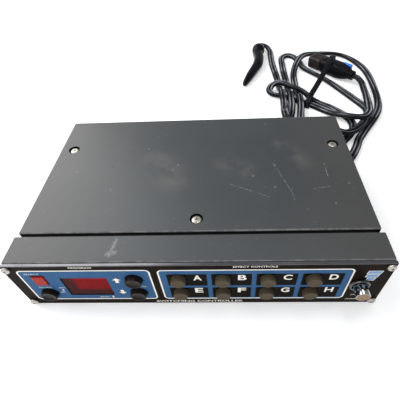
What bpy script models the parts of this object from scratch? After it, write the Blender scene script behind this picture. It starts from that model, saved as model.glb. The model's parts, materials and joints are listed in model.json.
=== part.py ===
"""A half-rack, one-unit effects switching controller with its mains lead and a control lead.

Run it with: blender --background --python part.py
Units are metres, +Z is up, and the front panel faces -Y. The origin is under the middle of
the case, halfway between the power button's face and the fuse holder's cap.
Every sub-part is one object. Each button is parented to an empty on its line of travel.
"""

import math

import bmesh
import bpy
from mathutils import Matrix, Vector

# Driving dimensions.
PANEL_WIDTH = 0.216
CASE_HEIGHT = 0.04445
PANEL_THICK = 0.002
PANEL_EDGE = 0.0003
GAP = 0.0003  # clearance between pieces that touch
SHEET = 0.0012  # sheet metal of the case
FRONT_Y = -0.068  # outer face of the front panel
OVERCUT = 0.001  # how far a cutter runs past the face it cuts
FINE_SIDES = 20  # sides of a round piece that shows on the panel
PLAIN_SIDES = 16  # sides of any other round piece
SHARP_ANGLE = math.radians(35)

# The front section: a deep frame behind the panel, then a groove, then the cover.
FRAME_WALL = 0.003
FRAME_FRONT_Y = FRONT_Y + PANEL_THICK + GAP
FRAME_BACK_Y = FRONT_Y + 0.0206
FRAME_EDGE = 0.0008
NECK_LENGTH = 0.0055
NECK_WALL = 0.002
GROOVE = 0.0022
COVER_FRONT_Y = FRAME_BACK_Y + GROOVE
COVER_BACK_Y = FRONT_Y + 0.1362
COVER_WIDTH = 0.2132
COVER_EDGE = 0.0008
CHASSIS_WIDTH = COVER_WIDTH - 2 * (SHEET + GAP)
CHASSIS_FLANGE = 0.010
REAR_FACE_Y = COVER_BACK_Y - GAP
REAR_INNER_Y = REAR_FACE_Y - SHEET

# Cover screws, sunk in dimples in the cover, over posts that stand in the chassis.
COVER_SCREW_X = 0.0965
COVER_SCREW_BACK_Y = FRONT_Y + 0.101
COVER_SCREW_FRONT_Y = FRONT_Y + 0.0322
DIMPLE_RADIUS = 0.0041
DIMPLE_FLOOR_RADIUS = 0.0035
DIMPLE_DEPTH = 0.0024
POST_RADIUS = 0.004
SCREW_HEAD_RADIUS = 0.0033
SCREW_HEAD_HEIGHT = 0.0016
SCREW_SHANK_RADIUS = 0.0015
SCREW_LENGTH = 0.008
SCREW_END_GAP = 0.0012  # a screw stops this far short of the bottom of its hole

# Panel screws at the four corners.
PANEL_SCREW_X = 0.1051
PANEL_SCREW_LOW_Z = 0.0037
PANEL_SCREW_HIGH_Z = 0.0414
PANEL_SCREW_HEAD = 0.0025
PANEL_SCREW_HEIGHT = 0.0015
PANEL_SCREW_SHANK = SCREW_SHANK_RADIUS - 2 * GAP

# Buttons: two rows on a 15.24 mm pitch, channel columns on a 25.4 mm pitch.
ROW_PITCH = 0.01524
LOW_ROW_Z = 0.0146
HIGH_ROW_Z = LOW_ROW_Z + ROW_PITCH
COLUMN_PITCH = 0.0254
FIRST_COLUMN_X = -0.0099
CHANNEL_CAP_RADIUS = 0.0044
CHANNEL_CAP_PROUD = 0.0034
PROGRAM_CAP_RADIUS = 0.005
PROGRAM_CAP_PROUD = 0.0032
STEP_BUTTON_X = -0.0355
STORE_BUTTON_X = -0.0903
CAP_CLEARANCE = 0.0004
CAP_REAR_Y = FRONT_Y + 0.0058
STEM_RADIUS = 0.0012
STEM_REAR_Y = FRONT_Y + 0.0098
BUTTON_TRAVEL = 0.0015

# Display window and indicator lens.
WINDOW_WIDTH = 0.0263
WINDOW_HEIGHT = 0.0191
WINDOW_X = -0.0647
WINDOW_Z = 0.02155
LENS_WIDTH = 0.007
LENS_HEIGHT = 0.0092
LENS_X = -0.0906
LENS_Z = 0.0296
LENS_PROUD = 0.0008
LENS_DEPTH = 0.0048
LAMP_RADIUS = 0.0025
DISPLAY_FRONT_Y = FRONT_Y + 0.0045
DISPLAY_SIDE_INSET = 0.001  # the display is this much narrower than the window on each side
DISPLAY_END_INSET = 0.0005
DIGIT_OFFSET = 0.0058  # from the display's middle to each digit's middle
DIGIT_HALF_WIDTH = 0.0034
DIGIT_HALF_HEIGHT = 0.0055
SEGMENT_HALF_WIDTH = 0.0005
SEGMENT_SINK = 0.0006

# Power button, a plated cap in a round bushing.
POWER_X = 0.0931
POWER_Z = 0.0228
POWER_CAP_RADIUS = 0.00405
POWER_CAP_PROUD = 0.0081
POWER_CAP_REAR_Y = FRONT_Y + 0.0075
POWER_TRAVEL = 0.003
BUSHING_BORE = 0.0045
BUSHING_BARREL = 0.0052
BUSHING_FLANGE = 0.0058
BUSHING_PROUD = 0.0018
SWITCH_BODY_WIDTH = 0.0135
SWITCH_BODY_LENGTH = 0.022
SWITCH_BODY_OFFSET = 0.0015  # the switch sits this far left of the button's line
SWITCH_BORE_ROOM = 0.001  # room behind the pressed cap

# Boards inside the case.
BOARD_THICK = 0.0016
CONTROL_BOARD_Y = FRONT_Y + 0.0125
CONTROL_BOARD_LEFT = -0.101
CONTROL_BOARD_RIGHT = 0.081
CONTROL_BOARD_LOW_Z = 0.0052
CONTROL_BOARD_HIGH_Z = 0.0392
SWITCH_WIDTH = 0.0075
SWITCH_DEPTH = 0.0045
MAIN_BOARD_LEFT = -0.086
MAIN_BOARD_RIGHT = 0.040
MAIN_BOARD_FRONT_Y = FRONT_Y + 0.042
MAIN_BOARD_BACK_Y = FRONT_Y + 0.110
MAIN_BOARD_Z = 0.0085
STANDOFF_RADIUS = 0.003
STANDOFF_INSET = 0.006
RIBBON_WIDTH = 0.030
RIBBON_THICK = 0.0009
RIBBON_X = -0.020
RIBBON_HIGH_Z = 0.030
RIBBON_FLAT = 0.006  # how far each end runs straight
RIBBON_BENDS = 8
CHIP_DEPTH = 0.0136
CHIP_HEIGHT = 0.0042
CHIPS = (("processor", -0.040, FRONT_Y + 0.075, 0.052), ("memory", -0.045, FRONT_Y + 0.098, 0.036))

# Heat sink, with the regulator against its front.
SINK_LEFT = 0.004
SINK_FRONT_Y = FRONT_Y + 0.056
SINK_WIDTH = 0.030
SINK_DEPTH = 0.012
SINK_HEIGHT = 0.020
SINK_WEB = 0.0025
SINK_SLOTS = 5
SINK_SLOT = 0.0028
REGULATOR_WIDTH = 0.010
REGULATOR_DEPTH = 0.0045
REGULATOR_HEIGHT = 0.015

# Power supply.
CORE_MIDDLE_X = 0.068
CORE_MIDDLE_Y = FRONT_Y + 0.072
CORE_WIDTH = 0.040
CORE_DEPTH = 0.018
CORE_HEIGHT = 0.034
CORE_LIMB = 0.0065
COIL_WALL = 0.0055
CAPACITOR_RADIUS = 0.00625
CAPACITOR_HEIGHT = 0.022
CAPACITOR_X = (0.028, 0.012)
CAPACITOR_Y = FRONT_Y + 0.082

# Rear panel fittings.
GLAND_X = 0.094
GLAND_Z = 0.017
GLAND_LENGTH = 0.024
GLAND_RADIUS = 0.0062
GLAND_STEP = 0.001  # its hole in the rear panel is this much smaller in radius
BOOT_RADIUS = 0.0048
BOOT_RIB_PITCH = 0.0045
BOOT_GROOVE = 0.0007
FUSE_X = 0.050
FUSE_Z = 0.024
FUSE_RADIUS = 0.0072
FUSE_PROUD = 0.0082
FUSE_STEP = 0.001  # from its flange to its barrel
FUSE_BARREL_LENGTH = 0.022
FUSE_SLOT_LENGTH = 0.007
FUSE_SLOT_WIDTH = 0.0012
FUSE_SLOT_DEPTH = 0.0018
JACK_X = (0.074, 0.014, -0.008)
JACK_Z = 0.024
JACK_BORE = 0.0033
JACK_NUT = 0.0065
JACK_PROUD = 0.003
JACK_STEP = 0.0017  # from its nut to its neck
JACK_BODY_LENGTH = 0.018
DIN_X = (-0.044, -0.078)
DIN_Z = 0.022
DIN_RADIUS = 0.0078
DIN_FLANGE = 0.0098
DIN_PROUD = 0.0015
DIN_BODY_LENGTH = 0.012
DIN_RECESS_RADIUS = 0.0066
DIN_RECESS_DEPTH = 0.009
DIN_INSERT_RADIUS = 0.0048
DIN_INSERT_SET_BACK = 0.001
DIN_PIN_CIRCLE = 0.0034
DIN_PIN_RADIUS = 0.0007
DIN_PIN_DEPTH = 0.0055
DIN_PIN_RISE = 0.001  # the pins' circle is this far above the socket's middle

# The leads: flat twin cord, drawn here as a plain round tube.
CORD_RADIUS = 0.0024
CORD_REST_Z = 0.0025  # height of a lead's middle where it lies on the surface
TUBE_SAG = 0.0009  # how far a straight piece of tube may cut a bend's corner
LONGEST_STEP = 0.036
JACK_PLUG_LENGTH = 0.027
JACK_PLUG_RADIUS = 0.0055
PLUG_MIDDLE = (0.1512, 0.2155, 0.0085)
PLUG_LENGTH = 0.042
PLUG_WIDTH = 0.018
PLUG_HEIGHT = 0.0168
PLUG_TURN = math.radians(130)
BLADE_LENGTH = 0.015
BLADE_SPACING = 0.0127
BLADE_THICK = 0.0016
BLADE_HEIGHT = 0.0062
GUARD_LENGTH = 0.0165  # a moulded cover pushed over the blades
GUARD_WIDTH = 0.0180
GUARD_HEIGHT = 0.0145
STRAP_WIDTH = 0.006
STRAP_THICK = 0.001

# The control lead's far plug: (x, y, z, radius) from its tip to its head.
END_PLUG_STATIONS = [
    (0.0409, 0.1976, 0.0032, 0.0022),
    (0.0419, 0.2010, 0.0034, 0.0032),
    (0.0448, 0.2075, 0.0042, 0.0040),
    (0.0489, 0.2170, 0.0051, 0.0049),
    (0.0542, 0.2295, 0.0056, 0.0054),
    (0.0594, 0.2430, 0.0062, 0.0060),
    (0.0616, 0.2570, 0.0064, 0.0062),
    (0.0616, 0.2690, 0.0067, 0.0065),
    (0.0623, 0.2765, 0.0082, 0.0080),
    (0.0636, 0.2820, 0.0078, 0.0076),
    (0.0644, 0.2852, 0.0077, 0.0062),
    (0.0645, 0.2871, 0.0077, 0.0042),
]

# The rubber strap: from behind the mains plug, over it, then down over the folded lead.
STRAP_ROUTE = [
    (0.1498, 0.2368, 0.0020),
    (0.1498, 0.2368, 0.0080),
    (0.1494, 0.2361, 0.0136),
    (0.1484, 0.2342, 0.0170),
    (0.1466, 0.2303, 0.0182),
    (0.1439, 0.2244, 0.0181),
    (0.1416, 0.2194, 0.0179),
    (0.1360, 0.2085, 0.0166),
    (0.1280, 0.1938, 0.0138),
    (0.1200, 0.1790, 0.0114),
    (0.1120, 0.1642, 0.0102),
    (0.1102, 0.1609, 0.0099),
    (0.1080, 0.1568, 0.0084),
    (0.1066, 0.1541, 0.0070),
    (0.1051, 0.1513, 0.0054),
    (0.1040, 0.1492, 0.0028),
    (0.1035, 0.1482, 0.0008),
]

# Where the mains lead runs, in three stretches: from its strain relief to the spare length
# behind the case, the spare length folded into a hank, and from there to the plug.
LEAD_START = [
    (0.0940, 0.0926, 0.0170),
    (0.0944, 0.0985, 0.0169),
    (0.0980, 0.1035, 0.0164),
    (0.1055, 0.1045, 0.0152),
    (0.1135, 0.0985, 0.0138),
    (0.1210, 0.0930, 0.0120),
    (0.1290, 0.0920, 0.0096),
    (0.1380, 0.0965, 0.0082),
    (0.1465, 0.1050, 0.0074),
    (0.1535, 0.1155, 0.0050),
    (0.1605, 0.1280, 0.0026),
    (0.1635, 0.1400, 0.0025),
    (0.1560, 0.1615, 0.0025),
    (0.1350, 0.2050, 0.0025),
    (0.1155, 0.2350, 0.0025),
    (0.1115, 0.2550, 0.0025),
    (0.1065, 0.2675, 0.0025),
    (0.1000, 0.2710, 0.0025),
    (0.0925, 0.2650, 0.0025),
    (0.0900, 0.2410, 0.0025),
    (0.0895, 0.1940, 0.0025),
    (0.0893, 0.1825, 0.0027),
    (0.0889, 0.1750, 0.0052),
    (0.0885, 0.1675, 0.0083),
    (0.0880, 0.1540, 0.0080),
    (0.0873, 0.1430, 0.0064),
    (0.0825, 0.1245, 0.0036),
    (0.0740, 0.1195, 0.0025),
]
HANK_RUNS_Y = (0.1190, 0.0830, 0.0950, 0.1070)  # in the order that the lead follows them
HANK_LEFT_X = -0.030
HANK_RIGHT_X = 0.062
LEAD_END = [
    (0.0780, 0.1075, 0.0025),
    (0.0905, 0.1150, 0.0032),
    (0.0946, 0.1310, 0.0062),
    (0.0966, 0.1460, 0.0082),
    (0.0976, 0.1613, 0.0084),
    (0.0978, 0.1656, 0.0058),
    (0.0982, 0.1712, 0.0029),
    (0.0985, 0.1940, 0.0025),
    (0.1015, 0.2240, 0.0032),
    (0.1090, 0.2440, 0.0080),
    (0.1185, 0.2580, 0.0080),
    (0.1400, 0.2730, 0.0026),
    (0.1680, 0.2670, 0.0025),
    (0.1850, 0.2320, 0.0025),
    (0.1840, 0.1800, 0.0025),
    (0.1745, 0.1380, 0.0025),
    (0.1490, 0.1000, 0.0025),
    (0.1422, 0.0900, 0.0025),
    (0.1372, 0.0795, 0.0025),
    (0.1304, 0.0680, 0.0025),
    (0.1235, 0.0598, 0.0025),
    (0.1168, 0.0585, 0.0025),
    (0.1126, 0.0635, 0.0025),
    (0.1136, 0.0710, 0.0025),
    (0.1200, 0.0805, 0.0025),
    (0.1285, 0.0895, 0.0025),
    (0.1370, 0.0995, 0.0025),
    (0.1422, 0.1100, 0.0025),
    (0.1425, 0.1210, 0.0025),
    (0.1380, 0.1315, 0.0025),
    (0.1290, 0.1440, 0.0025),
    (0.1170, 0.1550, 0.0028),
    (0.1100, 0.1614, 0.0046),
    (0.1040, 0.1670, 0.0084),
    (0.0980, 0.1725, 0.0098),
    (0.0885, 0.1815, 0.0094),
    (0.0790, 0.1888, 0.0092),
    (0.0715, 0.1880, 0.0066),
    (0.0678, 0.1815, 0.0036),
    (0.0715, 0.1750, 0.0025),
    (0.0800, 0.1715, 0.0025),
    (0.0885, 0.1650, 0.0025),
    (0.0975, 0.1590, 0.0025),
    (0.1080, 0.1526, 0.0025),
    (0.1180, 0.1435, 0.0025),
    (0.1275, 0.1335, 0.0034),
    (0.1365, 0.1240, 0.0070),
    (0.1445, 0.1170, 0.0096),
    (0.1525, 0.1154, 0.0107),
    (0.1588, 0.1225, 0.0106),
    (0.1622, 0.1330, 0.0096),
    (0.1648, 0.1450, 0.0086),
    (0.1675, 0.1590, 0.0074),
    (0.1700, 0.1730, 0.0056),
    (0.1706, 0.1865, 0.0072),
    (0.1682, 0.1952, 0.0084),
    (0.1650, 0.1991, 0.0085),
]

# Where the control lead runs: from its jack plug to the moulded plug on its other end.
CONTROL_ROUTE = [
    (0.0740, 0.0989, 0.0240),
    (0.0740, 0.1080, 0.0234),
    (0.0753, 0.1190, 0.0185),
    (0.0770, 0.1290, 0.0135),
    (0.0787, 0.1400, 0.0096),
    (0.0798, 0.1510, 0.0080),
    (0.0800, 0.1620, 0.0080),
    (0.0800, 0.1720, 0.0084),
    (0.0800, 0.1790, 0.0056),
    (0.0800, 0.1860, 0.0029),
    (0.0800, 0.1940, 0.0025),
    (0.0800, 0.2060, 0.0025),
    (0.0793, 0.2220, 0.0025),
    (0.0783, 0.2390, 0.0026),
    (0.0780, 0.2570, 0.0026),
    (0.0783, 0.2720, 0.0034),
    (0.0780, 0.2840, 0.0046),
    (0.0735, 0.2930, 0.0066),
    (0.0675, 0.2950, 0.0076),
    (0.0645, 0.2914, 0.0077),
    (0.0645, 0.2876, 0.0077),
]


def clear_scene():
    for item in list(bpy.data.objects):
        bpy.data.objects.remove(item, do_unlink=True)


def material(name, colour, roughness, metallic=0.0):
    made = bpy.data.materials.get(name)
    if made:
        return made
    made = bpy.data.materials.new(name)
    made.use_nodes = True
    shader = made.node_tree.nodes["Principled BSDF"]
    shader.inputs["Base Color"].default_value = (*colour, 1.0)
    shader.inputs["Roughness"].default_value = roughness
    shader.inputs["Metallic"].default_value = metallic
    made.diffuse_color = (*colour, 1.0)
    return made


def case_paint():
    return material("case paint", (0.045, 0.047, 0.050), 0.45)


def panel_paint():
    return material("panel paint", (0.016, 0.013, 0.011), 0.4)


def plated_steel():
    return material("plated steel", (0.75, 0.74, 0.70), 0.28, 1.0)


def chrome():
    return material("chrome", (0.82, 0.81, 0.79), 0.08, 1.0)


def zinc_steel():
    return material("zinc steel", (0.55, 0.55, 0.53), 0.4, 1.0)


def grey_cap():
    return material("grey cap", (0.085, 0.080, 0.066), 0.5)


def black_plastic():
    return material("black plastic", (0.018, 0.017, 0.016), 0.35)


def brown_plastic():
    return material("brown plastic", (0.035, 0.024, 0.020), 0.45)


def red_filter():
    return material("red filter", (0.22, 0.010, 0.012), 0.15)


def red_lens():
    return material("red lens", (0.62, 0.035, 0.030), 0.2)


def board_green():
    return material("circuit board", (0.03, 0.16, 0.07), 0.45)


def coil_tape():
    return material("coil tape", (0.50, 0.33, 0.08), 0.5)


def lead_rubber():
    return material("lead", (0.012, 0.012, 0.014), 0.3)


def brass():
    return material("brass", (0.72, 0.55, 0.28), 0.25, 1.0)


def aluminium():
    return material("aluminium", (0.70, 0.71, 0.72), 0.4, 1.0)


def grey_ribbon():
    return material("ribbon cable", (0.30, 0.31, 0.33), 0.5)


def capacitor_sleeve():
    return material("capacitor sleeve", (0.02, 0.04, 0.11), 0.35)


def finish_object(name, shape, look):
    """Turn a bmesh into a named object with outward faces and its material."""
    shape.normal_update()
    bmesh.ops.recalc_face_normals(shape, faces=shape.faces)
    mesh = bpy.data.meshes.new(name)
    shape.to_mesh(mesh)
    shape.free()
    mesh.materials.append(look)
    mesh.shade_smooth()
    mesh.set_sharp_from_angle(angle=SHARP_ANGLE)
    made = bpy.data.objects.new(name, mesh)
    bpy.context.scene.collection.objects.link(made)
    return made


def add_box(shape, low, high):
    middle = (Vector(low) + Vector(high)) / 2
    size = Vector(high) - Vector(low)
    placed = Matrix.Translation(middle) @ Matrix.Diagonal((*size, 1.0))
    bmesh.ops.create_cube(shape, size=1.0, matrix=placed)


def box(name, low, high, look, edge=0.0):
    shape = bmesh.new()
    add_box(shape, low, high)
    made = finish_object(name, shape, look)
    if edge:
        soften(made, edge)
    return made


def soften(target, width, segments=2):
    bevel = target.modifiers.new("edges", "BEVEL")
    bevel.width = width
    bevel.segments = segments
    bevel.limit_method = "ANGLE"
    bevel.angle_limit = math.radians(40)


def facing(direction, place):
    """A frame whose +Z points along the direction, at the place."""
    turn = Vector(direction).to_track_quat("Z", "Y").to_matrix().to_4x4()
    return Matrix.Translation(Vector(place)) @ turn


def add_turned(shape, profile, frame, segments):
    """Add a solid of revolution: profile is (radius, height) from its base to its top."""
    rings = []
    for radius, height in profile:
        if radius == 0.0:
            rings.append([shape.verts.new(frame @ Vector((0, 0, height)))])
            continue
        ring = []
        for step in range(segments):
            angle = 2 * math.pi * step / segments
            spot = Vector((radius * math.cos(angle), radius * math.sin(angle), height))
            ring.append(shape.verts.new(frame @ spot))
        rings.append(ring)
    for lower, upper in zip(rings, rings[1:]):
        for step in range(segments):
            after = (step + 1) % segments
            corners = {lower[step % len(lower)]: None, lower[after % len(lower)]: None}
            corners[upper[after % len(upper)]] = None
            corners[upper[step % len(upper)]] = None
            shape.faces.new(list(corners))
    if len(rings[0]) > 1 and len(rings[-1]) > 1:
        shape.faces.new(list(reversed(rings[0])))
        shape.faces.new(rings[-1])


def turned(name, profile, frame, look, segments=PLAIN_SIDES):
    shape = bmesh.new()
    add_turned(shape, profile, frame, segments)
    return finish_object(name, shape, look)


def ring_solid(name, outline, frame, look, segments=PLAIN_SIDES):
    """A ring: its closed outline of (radius, height) points is turned about the frame's Z."""
    shape = bmesh.new()
    loops = []
    for step in range(segments):
        angle = 2 * math.pi * step / segments
        across = Vector((math.cos(angle), math.sin(angle), 0))
        loops.append([shape.verts.new(frame @ (across * r + Vector((0, 0, h)))) for r, h in outline])
    for step in range(segments):
        here = loops[step]
        there = loops[(step + 1) % segments]
        for corner in range(len(outline)):
            after = (corner + 1) % len(outline)
            shape.faces.new((here[corner], here[after], there[after], there[corner]))
    return finish_object(name, shape, look)


def cut_away(target, shape, label):
    """Cut one mesh, which may hold several separate solids, out of the target."""
    cutter = finish_object(target.name + "_" + label, shape, panel_paint())
    cutter.hide_render = True
    cutter.display_type = "WIRE"
    modifier = target.modifiers.new(label, "BOOLEAN")
    modifier.operation = "DIFFERENCE"
    modifier.solver = "EXACT"
    modifier.object = cutter


def add_to(target, shape, label):
    extra = finish_object(target.name + "_" + label, shape, target.data.materials[0])
    extra.hide_render = True
    extra.display_type = "WIRE"
    modifier = target.modifiers.new(label, "BOOLEAN")
    modifier.operation = "UNION"
    modifier.solver = "EXACT"
    modifier.object = extra


def bored(frame, radius, depth, segments=FINE_SIDES):
    """A round cutter along a frame's Z."""
    shape = bmesh.new()
    add_turned(shape, [(radius, 0.0), (radius, depth)], frame, segments)
    return shape


def travel_axis(name, place):
    """An empty on a button's line of travel, which runs along +Y."""
    axis = bpy.data.objects.new(name + "_travel", None)
    axis.location = place
    axis.empty_display_size = 0.01
    bpy.context.scene.collection.objects.link(axis)
    return axis


def cover_screw_places():
    return {
        "cover_screw_left": (-COVER_SCREW_X, COVER_SCREW_BACK_Y),
        "cover_screw_right": (COVER_SCREW_X, COVER_SCREW_BACK_Y),
        "cover_screw_front": (0.0, COVER_SCREW_FRONT_Y),
    }


def panel_screw_places():
    return {
        "panel_screw_top_left": (-PANEL_SCREW_X, PANEL_SCREW_HIGH_Z),
        "panel_screw_bottom_left": (-PANEL_SCREW_X, PANEL_SCREW_LOW_Z),
        "panel_screw_top_right": (PANEL_SCREW_X, PANEL_SCREW_HIGH_Z),
        "panel_screw_bottom_right": (PANEL_SCREW_X, PANEL_SCREW_LOW_Z),
    }


def channel_button_places():
    places = {}
    for index, letter in enumerate("abcdefgh"):
        x = FIRST_COLUMN_X + COLUMN_PITCH * (index % 4)
        z = HIGH_ROW_Z if index < 4 else LOW_ROW_Z
        places["channel_button_" + letter] = (x, z)
    return places


def program_button_places():
    return {
        "step_up_button": (STEP_BUTTON_X, HIGH_ROW_Z),
        "step_down_button": (STEP_BUTTON_X, LOW_ROW_Z),
        "store_button": (STORE_BUTTON_X, LOW_ROW_Z),
    }


def make_cover():
    """Top sheet with two side sheets, three dimples for its screws, rounded rear corners."""
    half = COVER_WIDTH / 2
    back_corner = (half, COVER_BACK_Y, CASE_HEIGHT)
    cover = box("top_cover", (-half, COVER_FRONT_Y, 0.0), back_corner, case_paint(), COVER_EDGE)
    hollow = bmesh.new()
    inner = half - SHEET
    low = (-inner, COVER_FRONT_Y - OVERCUT, -OVERCUT)
    add_box(hollow, low, (inner, COVER_BACK_Y + OVERCUT, CASE_HEIGHT - SHEET))
    cut_away(cover, hollow, "inside")
    cups = bmesh.new()
    dimples = bmesh.new()
    holes = bmesh.new()
    for x, y in cover_screw_places().values():
        floor = CASE_HEIGHT - DIMPLE_DEPTH
        cup_low = facing((0, 0, 1), (x, y, floor - SHEET))
        cup_radius = DIMPLE_RADIUS + SHEET
        cup = [(cup_radius, 0.0), (cup_radius, DIMPLE_DEPTH + SHEET / 2)]
        add_turned(cups, cup, cup_low, FINE_SIDES)
        bowl = [(DIMPLE_FLOOR_RADIUS, 0.0), (DIMPLE_RADIUS, DIMPLE_DEPTH)]
        bowl.append((DIMPLE_RADIUS, 2 * DIMPLE_DEPTH))
        add_turned(dimples, bowl, facing((0, 0, 1), (x, y, floor)), FINE_SIDES)
        hole = SCREW_SHANK_RADIUS + GAP
        hole_low = facing((0, 0, 1), (x, y, floor - 2 * SHEET))
        add_turned(holes, [(hole, 0.0), (hole, 3 * SHEET)], hole_low, PLAIN_SIDES)
    add_to(cover, cups, "cups")
    cut_away(cover, dimples, "dimples")
    cut_away(cover, holes, "screw_holes")


def make_chassis():
    """Bottom sheet with low side flanges, the rear panel, and three screw posts."""
    half = CHASSIS_WIDTH / 2
    top = CASE_HEIGHT - SHEET - GAP
    chassis = box(
        "chassis", (-half, COVER_FRONT_Y, 0.0), (half, REAR_FACE_Y, top), zinc_steel()
    )
    inner = half - SHEET
    space = bmesh.new()
    add_box(space, (-inner, COVER_FRONT_Y - OVERCUT, SHEET), (inner, REAR_INNER_Y, top + OVERCUT))
    cut_away(chassis, space, "inside")
    sides = bmesh.new()
    for side in (-1, 1):
        left, right = sorted((side * (inner - OVERCUT), side * (half + OVERCUT)))
        low = (left, COVER_FRONT_Y - OVERCUT, CHASSIS_FLANGE)
        add_box(sides, low, (right, REAR_INNER_Y, top + OVERCUT))
    cut_away(chassis, sides, "side_tops")
    posts = bmesh.new()
    bores = bmesh.new()
    post_top = CASE_HEIGHT - DIMPLE_DEPTH - SHEET - GAP
    for x, y in cover_screw_places().values():
        post = [(POST_RADIUS, 0.0), (POST_RADIUS, post_top - SHEET / 2)]
        add_turned(posts, post, facing((0, 0, 1), (x, y, SHEET / 2)), PLAIN_SIDES)
        radius = SCREW_SHANK_RADIUS + GAP
        bore = [(radius, 0.0), (radius, SCREW_LENGTH + OVERCUT)]
        bore_low = facing((0, 0, 1), (x, y, post_top - SCREW_LENGTH))
        add_turned(bores, bore, bore_low, PLAIN_SIDES)
    add_to(chassis, posts, "posts")
    cut_away(chassis, bores, "post_bores")
    cut_away(chassis, rear_holes(), "rear_holes")


def rear_holes():
    """Cutters for every fitting that passes through the rear panel."""
    shape = bmesh.new()
    start_y = REAR_INNER_Y - OVERCUT
    depth = SHEET + 2 * OVERCUT
    places = [(GLAND_X, GLAND_Z, GLAND_RADIUS - GLAND_STEP), (FUSE_X, FUSE_Z, FUSE_RADIUS - FUSE_STEP)]
    places += [(x, JACK_Z, JACK_NUT - JACK_STEP) for x in JACK_X]
    places += [(x, DIN_Z, DIN_RADIUS + GAP) for x in DIN_X]
    for x, z, radius in places:
        hole = [(radius, 0.0), (radius, depth)]
        add_turned(shape, hole, facing((0, 1, 0), (x, start_y, z)), FINE_SIDES)
    return shape


def make_frame():
    """The deep front frame, with a narrower neck behind it that sits inside the case."""
    half = PANEL_WIDTH / 2
    frame = box(
        "front_frame",
        (-half, FRAME_FRONT_Y, 0.0),
        (half, FRAME_BACK_Y, CASE_HEIGHT),
        case_paint(),
        FRAME_EDGE,
    )
    neck_half = CHASSIS_WIDTH / 2 - SHEET - GAP
    neck_low = SHEET + GAP
    neck_high = CASE_HEIGHT - SHEET - GAP
    neck = bmesh.new()
    add_box(
        neck,
        (-neck_half, FRAME_BACK_Y - FRAME_WALL, neck_low),
        (neck_half, FRAME_BACK_Y + NECK_LENGTH, neck_high),
    )
    add_to(frame, neck, "neck")
    inside = bmesh.new()
    inner = neck_half - NECK_WALL
    add_box(
        inside,
        (-inner, FRAME_FRONT_Y - OVERCUT, neck_low + NECK_WALL),
        (inner, FRAME_BACK_Y + NECK_LENGTH + OVERCUT, neck_high - NECK_WALL),
    )
    cut_away(frame, inside, "inside")
    bores = bmesh.new()
    for x, z in panel_screw_places().values():
        bore = SCREW_SHANK_RADIUS - 0.0003
        place = facing((0, 1, 0), (x, FRAME_FRONT_Y - OVERCUT, z))
        add_turned(bores, [(bore, 0.0), (bore, SCREW_LENGTH + OVERCUT)], place, 10)
    cut_away(frame, bores, "screw_bores")


def make_front_panel():
    """A flat plate with holes for the buttons, the window, the lens, the switch and screws."""
    half = PANEL_WIDTH / 2
    back_corner = (half, FRONT_Y + PANEL_THICK, CASE_HEIGHT)
    panel = box("front_panel", (-half, FRONT_Y, 0.0), back_corner, panel_paint(), PANEL_EDGE)
    holes = bmesh.new()
    depth = PANEL_THICK + 2 * OVERCUT
    rounds = [(x, z, CHANNEL_CAP_RADIUS + CAP_CLEARANCE) for x, z in channel_button_places().values()]
    rounds += [(x, z, PROGRAM_CAP_RADIUS + CAP_CLEARANCE) for x, z in program_button_places().values()]
    rounds += [(x, z, SCREW_SHANK_RADIUS) for x, z in panel_screw_places().values()]
    rounds.append((POWER_X, POWER_Z, BUSHING_BARREL + GAP))
    for x, z, radius in rounds:
        place = facing((0, 1, 0), (x, FRONT_Y - OVERCUT, z))
        add_turned(holes, [(radius, 0.0), (radius, depth)], place, FINE_SIDES)
    for x, z, width, height in (
        (WINDOW_X, WINDOW_Z, WINDOW_WIDTH, WINDOW_HEIGHT),
        (LENS_X, LENS_Z, LENS_WIDTH, LENS_HEIGHT),
    ):
        low = (x - width / 2 - GAP, FRONT_Y - OVERCUT, z - height / 2 - GAP)
        high = (x + width / 2 + GAP, FRONT_Y + PANEL_THICK + OVERCUT, z + height / 2 + GAP)
        add_box(holes, low, high)
    cut_away(panel, holes, "holes")


def make_screw(name, frame, head_radius, head_height, shank_radius):
    """A pan-head screw with a cross recess; the frame sits at the underside of its head."""
    shank = -SCREW_LENGTH + SCREW_END_GAP
    profile = [
        (0.0, shank),
        (shank_radius, shank),
        (shank_radius, 0.0),
        (head_radius, 0.0),
        (head_radius, head_height * 0.35),
        (head_radius * 0.86, head_height * 0.75),
        (head_radius * 0.55, head_height * 0.96),
        (0.0, head_height),
    ]
    screw = turned(name, profile, frame, plated_steel())
    arm = head_radius * 0.58
    blade = head_radius * 0.13
    quarter = [(arm, blade), (blade, blade), (blade, arm)]
    outline = []
    for _ in range(4):
        outline += quarter
        quarter = [(-y, x) for x, y in quarter]
    cross = bmesh.new()
    floor = [cross.verts.new(frame @ Vector((x, y, head_height * 0.45))) for x, y in outline]
    mouth = [cross.verts.new(frame @ Vector((x, y, head_height * 1.5))) for x, y in outline]
    for corner in range(len(outline)):
        after = (corner + 1) % len(outline)
        cross.faces.new((floor[corner], floor[after], mouth[after], mouth[corner]))
    cross.faces.new(list(reversed(floor)))
    cross.faces.new(mouth)
    cut_away(screw, cross, "cross")


def make_screws():
    for name, (x, y) in cover_screw_places().items():
        under_head = facing((0, 0, 1), (x, y, CASE_HEIGHT - DIMPLE_DEPTH + GAP))
        make_screw(name, under_head, SCREW_HEAD_RADIUS, SCREW_HEAD_HEIGHT, SCREW_SHANK_RADIUS)
    for name, (x, z) in panel_screw_places().items():
        under_head = facing((0, -1, 0), (x, FRONT_Y - GAP, z))
        make_screw(name, under_head, PANEL_SCREW_HEAD, PANEL_SCREW_HEIGHT, PANEL_SCREW_SHANK)


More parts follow.
